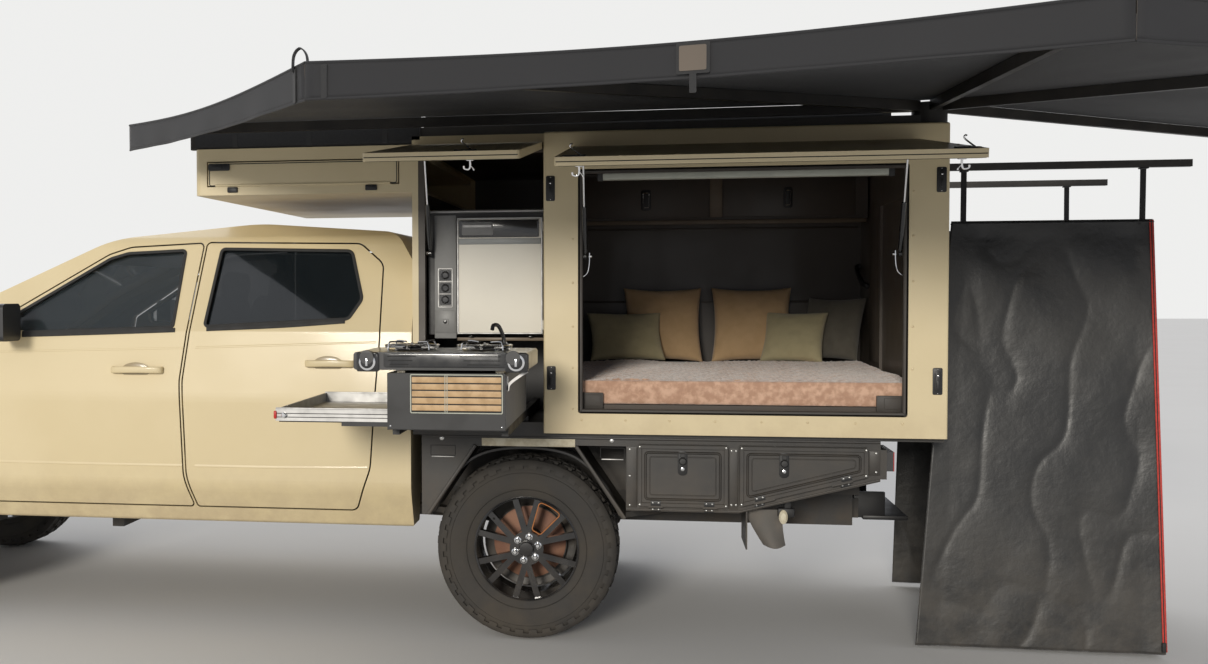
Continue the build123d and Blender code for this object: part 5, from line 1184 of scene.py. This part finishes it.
def hobDress(v):
    # fascia with slots, two knobs on boxes, two burners with supports, tap, and the bracket to the wall
    fascia = [plate((-0.440, 0.012), (1.246, 1.300), -1.808, 0.010, 0.008, 0.003)]
    slots = []
    for k, z in enumerate(v["slots"]):
        for x0, x1 in ((-0.425 + 0.004 * k, -0.318 - 0.014 * k), (-0.155 + 0.014 * k, -0.005 - 0.002 * k)):
            slots.append(carried(slab(0.0035, 0.003, 0.0012, 3), [(x0, -1.8185, z), (x1, -1.8185, z)]))
    boxes, knobs, rings, marks = [], [], [], []
    for knob in v["knobs"]:
        x = knob[0]
        boxes.append(plate((x - 0.042, x + 0.042), (1.230, 1.302), -1.800, 0.020, 0.008, 0.004))
        rings.append(turned([(0.0255, 0), (0.031, 0.002), (0.031, 0.006), (0.0265, 0.007)], knob, (0, -1, 0),
                            32))
        knobs.append(turned([(0.0235, 0), (0.0235, 0.012), (0.020, 0.0145), (0.008, 0.0150)], knob, (0, -1, 0),
                            28))
        marks.append(plate((x - 0.004, x + 0.004), (1.252, 1.280), -1.833, 0.0065, 0.002))
    supports, caps, bowls = [], [], []
    for bx, by in v["burners"]:
        bowls.append(turned([(0.098, 0), (0.092, 0.004), (0.060, -0.001), (0.030, 0.002), (0.010, 0.002)],
                            (bx, by, 1.3035), (0, 0, 1), 40))
        caps.append(turned([(0.034, 0), (0.038, 0.006), (0.038, 0.010), (0.030, 0.014), (0.010, 0.015)],
                           (bx, by, 1.307), (0, 0, 1), 28))
        supports.append(turned([(0.103, 0.006), (0.107, 0.0085), (0.103, 0.011), (0.099, 0.0085)],
                               (bx, by, 1.312), (0, 0, 1), 44, closed=True))
        for k in range(4):
            a = math.radians(45 + 90 * k)
            way = np.array([math.cos(a), math.sin(a), 0])
            line = [np.array([bx, by, 1.304]) + way * 0.112, np.array([bx, by, 1.330]) + way * 0.106,
                    np.array([bx, by, 1.335]) + way * 0.090, np.array([bx, by, 1.332]) + way * 0.040]
            supports.append(carried(circle(0.0032, 8), smoothLine(line, 16)))
    tap = [carried(circle(0.0075, 12),
                   smoothLine([(-0.012, -1.640, 1.300), (-0.014, -1.645, 1.350), (-0.030, -1.665, 1.394),
                               (-0.046, -1.690, 1.398), (-0.050, -1.700, 1.382)], 30)),
           turned([(0.016, 0), (0.016, 0.006), (0.010, 0.010)], (-0.012, -1.640, 1.3015), (0, 0, 1), 18)]
    bracket = [carried(slab(0.012, 0.003, 0.001, 2),
                       smoothLine([(0.014, -1.765, 1.160), (0.022, -1.765, 1.185), (0.060, -1.765, 1.215),
                                   (0.088, -1.765, 1.232)], 20), up=(0, 1, 0)),
               carried(slab(0.012, 0.003, 0.001, 2), [(0.0115, -1.765, 1.158), (0.0115, -1.765, 1.212)],
                       up=(0, 1, 0))]
    return {"enamelBlack": fascia + boxes + knobs + caps + tap, "rubber": slots,
            "chrome": rings + supports + marks + bowls, "aluminium": bracket}


makePiece("hobFittings", hobDress(hobValues), "vehicle")


boxValues = dict(face=-1.800, window=((-0.341, -0.001), (1.078, 1.219)), slats=5)


def boxDress(v):
    # slatted window in its frame, seam, side panel and screws
    (x0, x1), (z0, z1) = v["window"]
    face = v["face"]
    frame = [strip(boxRows((x0, x1), (z0, z1), 0.004), face - 0.001, 0.005, 0.006, 0.0015)]
    frame += [carried(slab(0.0032, 0.004, 0.001, 2), [(x, face - 0.001, z0), (x, face - 0.001, z1)],
                      up=(0, 1, 0)) for x in (-0.213, -0.205)]
    dark = [plate((x0 + 0.002, x1 - 0.002), (z0 + 0.002, z1 - 0.002), face + 0.0015, 0.002, 0.002)]
    pitch = (z1 - z0 - 0.012) / v["slats"]
    slats = [plate((x0 + 0.004, x1 - 0.004),
                   (z0 + 0.006 + pitch * k + 0.0025, z0 + 0.006 + pitch * (k + 1) - 0.0025), face, 0.0022,
                   0.002) for k in range(v["slats"])]
    seams = [block((-0.4295, face - 0.0005, 1.0145), (0.0095, face + 0.001, 1.0165), 0.0004)]
    grey = [block((0.0098, face + 0.006, 1.020), (0.0112, -1.010, 1.219), 0.0004)]
    screws = [studs([(x, face - 0.0002, 1.028) for x in (-0.418, -0.002)], radius=0.004)]
    return {"paleRail": frame, "rubber": dark + seams, "bamboo": slats, "greyPanel": grey, "chrome": screws}


makePiece("kitchenBoxFront", boxDress(boxValues), "vehicle")


trayValues = dict(x=(-0.864, -0.432), lipY=(-1.776, -1.024), lipZ=1.0865, grooves=(1.052, 1.066))


def trayDress(v):
    # lips and grooves of the sliding tray, its red end, the sheet under it and the pull
    x0, x1 = v["x"]
    lips = [carried(slab(0.010, 0.006, 0.002, 3), [(x0, y, v["lipZ"]), (x1, y, v["lipZ"])]) for y in v["lipY"]]
    grooves = [block((x0 + 0.004, -1.7812, z), (x1, -1.7795, z + 0.003), 0.0008) for z in v["grooves"]]
    tip = [block((-0.872, -1.786, 1.047), (-0.860, -1.770, 1.077), 0.004)]
    plateUnder = [block((-0.856, -1.765, 1.0335), (-0.440, -1.035, 1.0388), 0.001)]
    knob = [turned([(0.010, 0), (0.010, 0.012), (0.007, 0.015)], (-0.830, -1.780, 1.062), (0, -1, 0), 16)]
    return {"aluminium": lips, "blackSatin": grooves + plateUnder, "redPlastic": tip, "chrome": knob}


makePiece("trayFittings", trayDress(trayValues), "side_tray")
print("kitchen fittings done")


# Toolboxes: raised rims, latches, hinges and rivets, the same on both sides; places are (x, z)
toolboxValues = {"front": dict(outline=((0.478, 0.606), (0.856, 0.606), (0.856, 0.872), (0.478, 0.872)),
                               latch=(0.6665, 0.796), hinges=((0.555, 0.606), (0.777, 0.606))),
                 "rear": dict(outline=((0.900, 0.612), (1.420, 0.748), (1.420, 0.872), (0.900, 0.872)),
                              latch=(1.082, 0.794), hinges=((0.984, 0.636), (1.331, 0.727))), }


def shrunk(outline, by, radius):
    # the outline moved inward by a distance, corner by corner
    p = np.array(outline)
    back, ahead = unit(np.roll(p, 1, 0) - p), unit(np.roll(p, -1, 0) - p)
    half = np.arccos(np.clip((back * ahead).sum(-1), -1, 1))[:, None] / 2
    q = p + unit(back + ahead) * by / np.sin(half)
    return [(x, z, radius) for x, z in q]


def hingeHalf(v, size, y, lift, dotY, dotLift):
    # a leaf at each hinge, along the slope from one to the other, with a rivet near both of its ends
    (a, b), (c, d) = v["hinges"]
    slope = (d - b) / (c - a)
    leaves = [carried(slab(*size, 0.002, 3), [(x + dx, y, z + lift + slope * dx) for dx in (-0.021, 0.021)],
                      up=(0, 0, 1)) for x, z in v["hinges"]]
    dots = [studs([(x + dx, dotY, z + dotLift + slope * dx) for dx in (-0.012, 0.012)], radius=0.0042)
            for x, z in v["hinges"]]
    return leaves, dots


def toolboxDoor(v):
    # three rims, each the outline moved further in, the latch with its grip and key, and the upper hinge leaves
    face = -0.950
    rims = [strip(shrunk(v["outline"], 0.010, 0.006), face - 0.001, 0.018, 0.006, 0.002),
            strip(shrunk(v["outline"], 0.034, 0.012), face, 0.011, 0.010, 0.0045),
            strip(shrunk(v["outline"], 0.052, 0.010), face, 0.005, 0.004, 0.0015)]
    x, z = v["latch"]
    latch = [plate((x - 0.020, x + 0.020), (z - 0.053, z + 0.053), face + 0.001, 0.004, 0.016)]
    grip = [turned([(0.0145, 0), (0.0165, 0.006), (0.0160, 0.013), (0.012, 0.017), (0.005, 0.0175)],
                   (x, face - 0.002, z + 0.008), (0, -1, 0), 24),
            plate((x - 0.010, x + 0.010), (z + 0.024, z + 0.040), face - 0.002, 0.006, 0.003)]
    key = [turned([(0.0075, 0), (0.0075, 0.003), (0.0045, 0.0038)], (x, face - 0.003, z - 0.026), (0, -1, 0),
                  18)]
    corners = [studs([(cx, face - 0.0038, cz) for cx, cz, _ in shrunk(v["outline"], 0.010, 0.006)],
                     radius=0.0048)]
    leaves, dots = hingeHalf(v, (0.004, 0.022), face - 0.0035, 0.017, face - 0.0054, 0.019)
    return {"blackPowder": rims, "blackSatin": latch + leaves + grip, "brightRivet": corners + dots,
            "chrome": key}


def toolboxFace():
    # what stays with the box: posts, rivets, lower hinge leaves, rails, flaps, and the wheel opening's edge
    face, shade = -0.9297, -0.930
    posts = [plate(x, (low, 0.858), face + 0.001, 0.0055, 0.002)
             for x, low in (((0.432, 0.476), 0.600), ((0.860, 0.896), 0.600), ((1.424, 1.468), 0.756))]
    rivets = [(0.446, z) for z in (0.61, 0.735, 0.848)]
    rivets += [(x, z) for x in (0.869, 0.888) for z in (0.62, 0.848)]
    rivets += [(1.452, z) for z in (0.77, 0.848)]
    dots = [studs([(x, face - 0.0044, z) for x, z in rivets], radius=0.0048)]
    leaves = []
    for v in toolboxValues.values():
        lower, marks = hingeHalf(v, (0.006, 0.016), face - 0.0025, -0.013, face - 0.0053, -0.012)
        leaves += lower
        dots += marks
    rim = [carried(slab(0.010, 0.007, 0.002, 3),
                   [(0.432, face - 0.001, 0.592), (0.905, face - 0.001, 0.592), (1.466, face - 0.001, 0.737)],
                   up=(0, 0, 1))]
    pockets = ((-0.415, -0.307), (0.322, 0.423))
    flaps = [strip(boxRows(x, (0.808, 0.852), 0.003), shade - 0.0006, 0.0025, 0.003) for x in pockets]
    locks = [turned([(0.0095, 0), (0.0095, 0.004), (0.006, 0.006)], (x, shade, 0.884), (0, -1, 0), 18)
             for x in (-0.365, 0.370)]
    sills = [block((x0 + 0.004, shade - 0.004, 0.8005), (x1 - 0.004, shade + 0.001, 0.8055), 0.0015)
             for x0, x1 in pockets]
    lips = [carried(slab(0.016, 0.024, 0.004, 3), [(a, shade - 0.004, 0.856), (b, shade - 0.004, 0.552)],
                    up=(0, 1, 0)) for a, b in ((-0.217, -0.424), (0.219, 0.425))]
    cream = [block((-0.190, -0.9325, 0.853), (0.214, -0.926, 0.893), 0.002)]
    arch = [(-0.405, 0.560), (-0.330, 0.700), (-0.200, 0.812), (0.0, 0.845), (0.200, 0.812), (0.330, 0.700),
            (0.405, 0.560)]
    liner = [carried(slab(0.012, 0.10, 0.004, 3), smoothLine([(x, -0.865, z) for x, z in arch], 60),
                     up=(0, 1, 0))]
    t = np.linspace(0, 1, 16)[:, None]
    w = np.linspace(0, 1, 12)[None, :]
    sheet = np.stack([0.930 + 0.075 * t ** 1.3 + w * (0.160 - 0.068 * t),
                      -0.845 - 0.045 * np.sin(np.pi * (0.15 + 0.7 * w)) * (0.4 + t),
                      0.592 - 0.148 * t - 0.010 * np.sin(np.pi * w) * t + 0 * w], -1)
    front, back = gridShape(sheet), gridShape((sheet + [0, 0.006, 0])[:, ::-1])
    border = np.concatenate([sheet[0], sheet[1:, -1], sheet[-1, -2::-1], sheet[-2:0:-1, 0]])
    edge = gridShape(np.stack([border, border + [0, 0.006, 0]]), roundCols=True)
    flap = [front, back, edge]
    lamp = [turned([(0.020, 0), (0.024, 0.006), (0.024, 0.022), (0.014, 0.030)], (1.086, -0.868, 0.566),
                   (0, -1, 0), 24)]
    lamp = [((p - [1.086, 0, 0.566]) * [0.75, 1, 1.25] + [1.086, 0, 0.566], f, uv) for p, f, uv in lamp]
    holder = [block((1.064, -0.870, 0.560), (1.135, -0.830, 0.600), 0.008),
              block((1.092, -0.862, 0.590), (1.120, -0.838, 0.655), 0.004)]
    rail = [carried(slab(0.010, 0.012, 0.003, 3), [(-0.452, -0.931, 0.893), (1.468, -0.931, 0.893)],
                    up=(0, 0, 1))]
    return {"blackPowder": posts + rim + lips + rail, "brightRivet": dots + locks,
            "blackSatin": leaves + holder, "aluminium": sills, "creamPaint": cream + lamp,
            "blackPlastic": liner + flaps, "flapRubber": flap}


for sideName, side in sides:
    for kind, values in toolboxValues.items():
        makePiece(f"toolboxDoorTrim{kind.capitalize()}_{sideName}", onSide(toolboxDoor(values), side),
                  f"toolbox_door_{kind}_{sideName}")
    makePiece(f"toolboxTrim_{sideName}", onSide(toolboxFace(), side), "vehicle")
print("toolbox fittings done")


# Cab: seals, handles, mirrors, wipers, lamps, grille and plate; windows are (x, z, corner radius), lines (x, z)
cabDoors = {
    "front": dict(window=[(-2.425, 1.338, 0.025), (-2.415, 1.405, 0.030), (-1.955, 1.680, 0.100),
                          (-1.870, 1.705, 0.100), (-1.590, 1.717, 0.015), (-1.612, 1.364, 0.015)],
                  belt=[(-2.440, 1.326), (-2.0, 1.339), (-1.600, 1.352)], handle=(-1.772, 1.172, 0.235),
                  upperLine=[(-2.535, 1.250), (-2.0, 1.262), (-1.560, 1.272)],
                  lowerLine=[(-2.50, 0.745), (-2.0, 0.742), (-1.56, 0.742)]),
    "rear": dict(window=[(-1.462, 1.368, 0.015), (-1.416, 1.722, 0.020), (-0.800, 1.708, 0.030),
                         (-0.738, 1.490, 0.040), (-0.795, 1.402, 0.030)],
                 belt=[(-1.450, 1.357), (-1.1, 1.372), (-0.810, 1.392)], handle=(-0.870, 1.205, 0.215),
                 upperLine=[(-1.50, 1.274), (-1.1, 1.286), (-0.665, 1.300)],
                 lowerLine=[(-1.50, 0.742), (-1.1, 0.742), (-0.70, 0.748)]),
}


def cabFace(z):
    # y of the cab's left side at a height, read between the heights of its section
    return -np.interp(z, (0.475, 0.65, 1.05, 1.345, 1.765), (0.905, 0.925, 0.925, 0.893, 0.745))


def onCab(ring, wide, deep):
    # a closed strip on the cab's side
    path = np.stack([ring[:, 0], cabFace(ring[:, 1]), ring[:, 1]], -1)
    return carried(slab(wide, deep, 0.0015, 3), path, up=(0, -0.943, 0.332), closed=True)


def alongCab(rows, wide, deep, out, radius=0.0015):
    # an open strip that stands out from the cab's side
    line = smoothLine([(x, 0, z) for x, z in rows], 24)
    line[:, 1] = cabFace(line[:, 2]) - out
    return carried(slab(wide, deep, radius, 3), line, up=(0, -1, 0.2))


def cabDoorDress(kind, v):
    # window seal, belt strip, handle over its cup, and the panel's two pressed lines
    seal = [onCab(roundedRing(v["window"], 6), 0.014, 0.010)]
    belt = [alongCab(v["belt"], 0.020, 0.010, 0.001)]
    handle, recess, key = doorHandle(*v["handle"])
    crease = [alongCab(v["upperLine"], 0.010, 0.003, -0.0006, 0.0012),
              alongCab(v["lowerLine"], 0.016, 0.004, -0.0012)]
    dress = {"rubber": seal + belt, "sandPaint": handle + crease, "shadedHandleCup": recess}
    if kind == "front":
        # key hole, inner lining, and the outer mirror's glass and cover
        dress["chrome"] = key
        dress["cabTrim"] = [plate((-2.30, -1.70), (0.80, 1.20), -0.855, 0.004, 0.06, 0.002)]
        dress["mirrorGlass"] = [plate((-2.380, -2.372), (1.330, 1.452), -0.955, 0.135, 0.003)]
        dress["blackPlastic"] = [carried(slab(0.008, 0.10, 0.004, 3),
                                         [(-2.412, -0.985, 1.365), (-2.414, -1.06, 1.365)], up=(0, 0, 1))]
    return dress


def doorHandle(x, z, wide):
    # a bar that stands off the door over a shallow oval cup, with the key hole at its right end; the cup's
    # darker paint is painted shade
    y = float(cabFace(np.array([z]))[0])
    line = smoothLine([(x - wide / 2, y + 0.002, z), (x - wide / 2 + 0.012, y - 0.022, z),
                       (x, y - 0.030, z + 0.002), (x + wide / 2 - 0.012, y - 0.022, z),
                       (x + wide / 2, y + 0.002, z)], 30)
    bar = [carried(slab(0.014, 0.030, 0.006, 4), line, up=(0, 0, 1))]
    cup = [turned([(0.050, 0), (0.052, 0.0015), (0.049, 0.003), (0.020, 0.0032)], (0, 0, 0), (0, -1, 0), 40)]
    cup = [(p * [1.35, 1, 0.72] + np.array([x - 0.01, y + 0.0005, z - 0.004]), f, uv) for p, f, uv in cup]
    key = [turned([(0.009, 0), (0.009, 0.004), (0.006, 0.006)], (x + wide / 2 - 0.002, y - 0.006, z),
                  (0, -1, 0), 18)]
    return bar, cup, key


for kind, values in cabDoors.items():
    for sideName, side in sides:
        # the left rear door has no joint, so its trim stays with the vehicle
        body = "vehicle" if (kind, sideName) == ("rear", "left") else f"{kind}_door_{sideName}"
        makePiece(f"{kind}DoorTrim_{sideName}", onSide(cabDoorDress(kind, values), side), body)


cabValues = dict(wheelHub=(-2.215, -0.390, 1.125), wheelAxis=(0.90, 0, 0.42), grilleLow=0.772,
                 grillePitch=0.029, grilleBars=9,
                 wipers=(((-2.972, -0.62, 1.222), (-2.935, 0.02, 1.246)),
                         ((-2.972, -0.02, 1.222), (-2.935, 0.60, 1.246))))


def cabDress(v):
    # belongs to the fixed cab and front: wipers, mirror, steering wheel, grille bars, lamps and the blank plate
    wipers, black, lens = [], [], []
    for a, b in np.array(v["wipers"]):
        wipers.append(carried(slab(0.010, 0.006, 0.002, 3),
                              smoothLine([a, (a + b) / 2 + [-0.004, 0, 0.004], b], 16)))
        wipers.append(span(a + [-0.02, 0, -0.01], a + [0.006, 0, 0.010], 0.012, 12, 0.003))
    mirror = [block((-2.372, -0.115, 1.600), (-2.350, 0.115, 1.665), 0.009, 4),
              span((-2.365, 0, 1.655), (-2.320, 0, 1.720), 0.007, 10)]
    hub, axis = np.array(v["wheelHub"]), v["wheelAxis"]
    steer = [turned([(0.178, -0.014), (0.192, 0.0), (0.178, 0.014), (0.164, 0.0)], hub, axis, 48, closed=True)]
    for a in np.radians([0, 180, 270]):
        way = np.array([-axis[2] * math.sin(a), math.cos(a), axis[0] * math.sin(a)])
        steer.append(span(hub + way * 0.03, hub + way * 0.178, 0.012, 10))
    steer.append(turned([(0.055, -0.02), (0.060, 0.0), (0.045, 0.022), (0.01, 0.026)], hub, axis, 28))
    steer.append(span(hub + [-0.02, 0, -0.01], hub + [-0.16, 0, -0.075], 0.028, 14))
    heights = [v["grilleLow"] + v["grillePitch"] * k for k in range(v["grilleBars"])]
    silver = [carried(slab(0.004, 0.006, 0.0015, 2), [(-4.066, -0.418, z), (-4.066, 0.418, z)])
              for z in heights]
    for side in (-1, 1):
        black.append(block((-4.118, side * 0.50, 0.902), (-4.095, side * 0.72, 0.992), 0.010))
        lens.append(turned([(0.040, 0), (0.044, 0.008), (0.038, 0.018), (0.012, 0.024)],
                           (-4.112, side * 0.556, 0.947), (-1, 0, 0), 28))
        lens.append(turned([(0.030, 0), (0.034, 0.006), (0.029, 0.014), (0.010, 0.019)],
                           (-4.112, side * 0.660, 0.947), (-1, 0, 0), 24))
        silver.append(turned([(0.046, 0), (0.049, 0.004), (0.046, 0.010)], (-4.113, side * 0.556, 0.947),
                             (-1, 0, 0), 28))
        lens.append(turned([(0.040, 0), (0.044, 0.006), (0.038, 0.014), (0.012, 0.018)],
                           (-4.108, side * 0.70, 0.600), (-1, 0.35 * side, 0), 26))
    plates = [block((-4.1735, -0.26, 0.560), (-4.1650, 0.26, 0.672), 0.004)]
    return {"rubber": wipers, "blackPlastic": mirror + steer + black, "aluminium": silver, "clearLens": lens,
            "plateBlank": plates}


makePiece("cabFittings", cabDress(cabValues), "vehicle")


archValues = dict(radius=0.497, y=-0.921, ends=(22, 158), points=40)


def fenderDress(v):
    # a lip along an arc round the wheel, and the side lamp
    a = np.radians(np.linspace(*v["ends"], v["points"]))
    arch = np.stack([frontAxle + v["radius"] * np.cos(a), np.full(len(a), v["y"]),
                     tyreValues["radius"] + v["radius"] * np.sin(a)], -1)
    flare = [carried(slab(0.014, 0.012, 0.004, 3), arch, up=(0, 1, 0))]
    repeater = [plate((-2.745, -2.690), (0.925, 0.945), -0.924, 0.006, 0.006, 0.003)]
    return {"rubber": flare, "amberLens": repeater}


for sideName, side in sides:
    makePiece(f"frontArchLip_{sideName}", onSide(fenderDress(archValues), side), "vehicle")
print("cab fittings done")


# Nose over the cab, awning's bag, camper corners, rear door and roof
noseValues = dict(latch=((-1.411, -1.312), (2.063, 2.094)), seal=((-1.408, -0.558), (1.998, 2.093)))


def noseDress(v):
    # a latch on its plate, and the seal round the small hatch
    latch = [plate(*v["latch"], -0.9555, 0.006, 0.008, 0.002),
             plate((-1.395, -1.345), (2.070, 2.087), -0.9605, 0.005, 0.006, 0.002)]
    seal = [strip(boxRows(*v["seal"], 0.008), -0.9505, 0.004, 0.002)]
    return {"blackSatin": latch, "rubber": seal}


makePiece("noseHatchTrim", noseDress(noseValues), "nose_hatch")


camperValues = dict(window=((0.45, 1.15), (1.45, 1.85)), solar=((0.18, 0.26), (1.40, 0.90)),
                    cellStart=(0.20, 0.275), cellPitch=(0.148, 0.152), cellSize=(0.140, 0.144), cells=(8, 4))


def camperDress(v):
    # hinges, awning bag and straps, rivet rows, roof vent and panel, right side window, tail lamps and step
    hinges = [plate(x, (1.966, 1.990), -0.9500, 0.010, 0.004, 0.002)
              for x in ((-1.323, -1.277), (-0.696, -0.645))]
    bag = [carried(slab(0.040, 0.128, 0.018, 5), [(-1.472, -0.930, 2.226), (-0.455, -0.930, 2.226)]),
           carried(slab(0.070, 0.062, 0.014, 5), [(-0.452, -0.832, 2.228), (1.480, -0.832, 2.228)]),
           carried(slab(0.036, 0.070, 0.014, 5), [(-0.452, -0.806, 2.266), (1.520, -0.806, 2.266)])]
    straps = [carried(slab(0.0415, 0.130, 0.018, 5) * 1.02, [(x, -0.930, 2.226), (x + 0.022, -0.930, 2.226)])
              for x in (-1.30, -0.96, -0.62)]
    rows = []
    for s in (-1, 1):
        rows.append(((-1.44, s * 0.930, 2.1598), (-0.52, s * 0.930, 2.1598), 0.15, (0, 0, 1)))
        rows.append(((0.12, s * 0.985, 2.1948), (1.68, s * 0.985, 2.1948), 0.18, (0, 0, 1)))
    rows += [((1.7150, y, 1.02), (1.7150, y, 2.10), 0.18, (1, 0, 0)) for y in (-0.925, 0.925)]
    rows += [((0.12, 1.0099, z), (1.68, 1.0099, z), 0.18, (0, 1, 0)) for z in (0.955, 2.150)]
    rivets = [domes(rowBetween(a, b, pitch), way, 0.005, 0.0022) for a, b, pitch, way in rows]
    vent = [block((0.60, -0.20, 2.1945), (1.00, 0.20, 2.218), 0.012, 4),
            block((0.63, -0.17, 2.216), (0.97, 0.17, 2.232), 0.010, 4)]
    solar = [block((*v["solar"][0], 2.1945), (*v["solar"][1], 2.212), 0.003)]
    corners = [np.add(v["cellStart"], np.multiply(v["cellPitch"], (i, j))) for i in range(v["cells"][0])
               for j in range(v["cells"][1])]
    cells = [block((*corner, 2.2115), (*(corner + v["cellSize"]), 2.2130), 0.0005) for corner in corners]
    (x0, x1), (z0, z1) = v["window"]
    windowFrame = [strip(boxRows((x0, x1), (z0, z1), 0.06), 1.0115, 0.026, 0.008, 0.003, 8)]
    windowPane = [plate((x0 + 0.012, x1 - 0.012), (z0 + 0.012, z1 - 0.012), 1.0095, 0.006, 0.052, 0.002,
                        side=1)]
    hatchRight = [strip(boxRows((-0.40, 0.02), (1.10, 1.75), 0.03), 0.9505, 0.010, 0.003, 0.001, 6)]
    tail = [block((1.7148, s * 0.86 - 0.03, 1.06), (1.7225, s * 0.86 + 0.03, 1.22), 0.004) for s in (-1, 1)]
    step = [block((1.500, -0.30, 0.462), (1.700, 0.26, 0.482), 0.004)]
    stepArms = [block((1.46, y - 0.012, 0.470), (1.60, y + 0.012, 0.590), 0.003) for y in (-0.28, 0.24)]
    rearPlate = [block((1.4955, -0.26, 0.790), (1.503, 0.26, 0.890), 0.003)]
    return {"blackSatin": hinges + stepArms + step, "webbing": bag, "blackPlastic": straps + windowFrame + vent,
            "sandRivet": rivets, "rubber": hatchRight, "tintedGlass": windowPane, "tailRed": tail,
            "plateBlank": rearPlate, "solarBlack": solar, "solarCell": cells}


makePiece("camperFittings", camperDress(camperValues), "vehicle")


rearDoorValues = dict(y=(-0.322, 0.2877), z=(1.018, 1.942), face=1.716)


def rearDoorFittings(v):
    # seam round the door, handle on its plate, and the window in its frame
    ring = roundedRing(boxRows(v["y"], v["z"], 0.02), 5)
    path = np.stack([np.full(len(ring), v["face"]), ring[:, 0], ring[:, 1]], -1)
    seam = [carried(slab(0.018, 0.004, 0.0015, 2), path, up=(1, 0, 0), closed=True)]
    handle = [block((1.7145, -0.300, 1.420), (1.7215, -0.240, 1.560), 0.004),
              block((1.720, -0.285, 1.445), (1.735, -0.255, 1.535), 0.006)]
    window = [block((1.7145, -0.200, 1.600), (1.7215, 0.200, 1.850), 0.010)]
    pane = [block((1.720, -0.180, 1.620), (1.7235, 0.180, 1.830), 0.006)]
    return {"gasketBrown": seam, "blackSatin": handle + window, "tintedGlass": pane}


makePiece("camperDoorFittings", rearDoorFittings(rearDoorValues), "camper_rear_door")


# Under the vehicle: exhaust, brake faces and the dust shields behind the discs; profiles are (radius, height)
brakeProfile = [(0.066, 0), (0.158, 0), (0.161, 0.0015), (0.158, 0.0035), (0.066, 0.0035)]
shieldProfile = [(0.050, 0), (0.196, 0), (0.206, 0.004), (0.206, 0.012), (0.203, 0.012), (0.203, 0.006),
                 (0.194, 0.003), (0.050, 0.003)]


def brakeRing(profile, x, side, y):
    return turned(profile, (x, side * y, tyreValues["radius"]), (0, side, 0), 48, closed=True)


exhaustValues = dict(front=[(-2.60, 0.20, 0.440), (-2.20, 0.21, 0.432), (-1.90, 0.22, 0.425),
                            (-1.30, 0.22, 0.420)], frontRadius=0.028,
                     rear=[(-0.79, 0.22, 0.43), (-0.55, 0.225, 0.475), (-0.20, 0.230, 0.502),
                           (0.15, 0.230, 0.500), (0.55, 0.225, 0.470), (0.74, 0.225, 0.430)], rearRadius=0.026)


def underside(v):
    # pipes and muffler: a round or oval section carried along a line from the engine to the tail
    pipe = [carried(circle(v["frontRadius"], 16), smoothLine(v["front"], 40)),
            carried(circle(v["rearRadius"], 16), smoothLine(v["rear"], 50))]
    muffler = [carried(slab(0.165, 0.11, 0.05, 7), [(x, 0.22, 0.425) for x in (-1.30, -1.28, -0.80, -0.78)],
                       widths=(0.86, 1, 1, 0.86))]
    brake = [brakeRing(brakeProfile, 0, side, 0.7245) for side in (-1, 1)]
    shield = [brakeRing(shieldProfile, 0, side, 0.688) for side in (-1, 1)]
    return {"forgedSteel": pipe + muffler, "brakeBrown": brake, "blackPowder": shield}


makePiece("exhaust", underside(exhaustValues), "vehicle")
for sideName, side in sides:
    makePiece(f"frontBrakeFace_{sideName}",
              {"brakeBrown": [brakeRing(brakeProfile, frontAxle, side, 0.7295)],
               "blackPowder": [brakeRing(shieldProfile, frontAxle, side, 0.694)]}, f"knuckle_{sideName}")
print("outside fittings done")
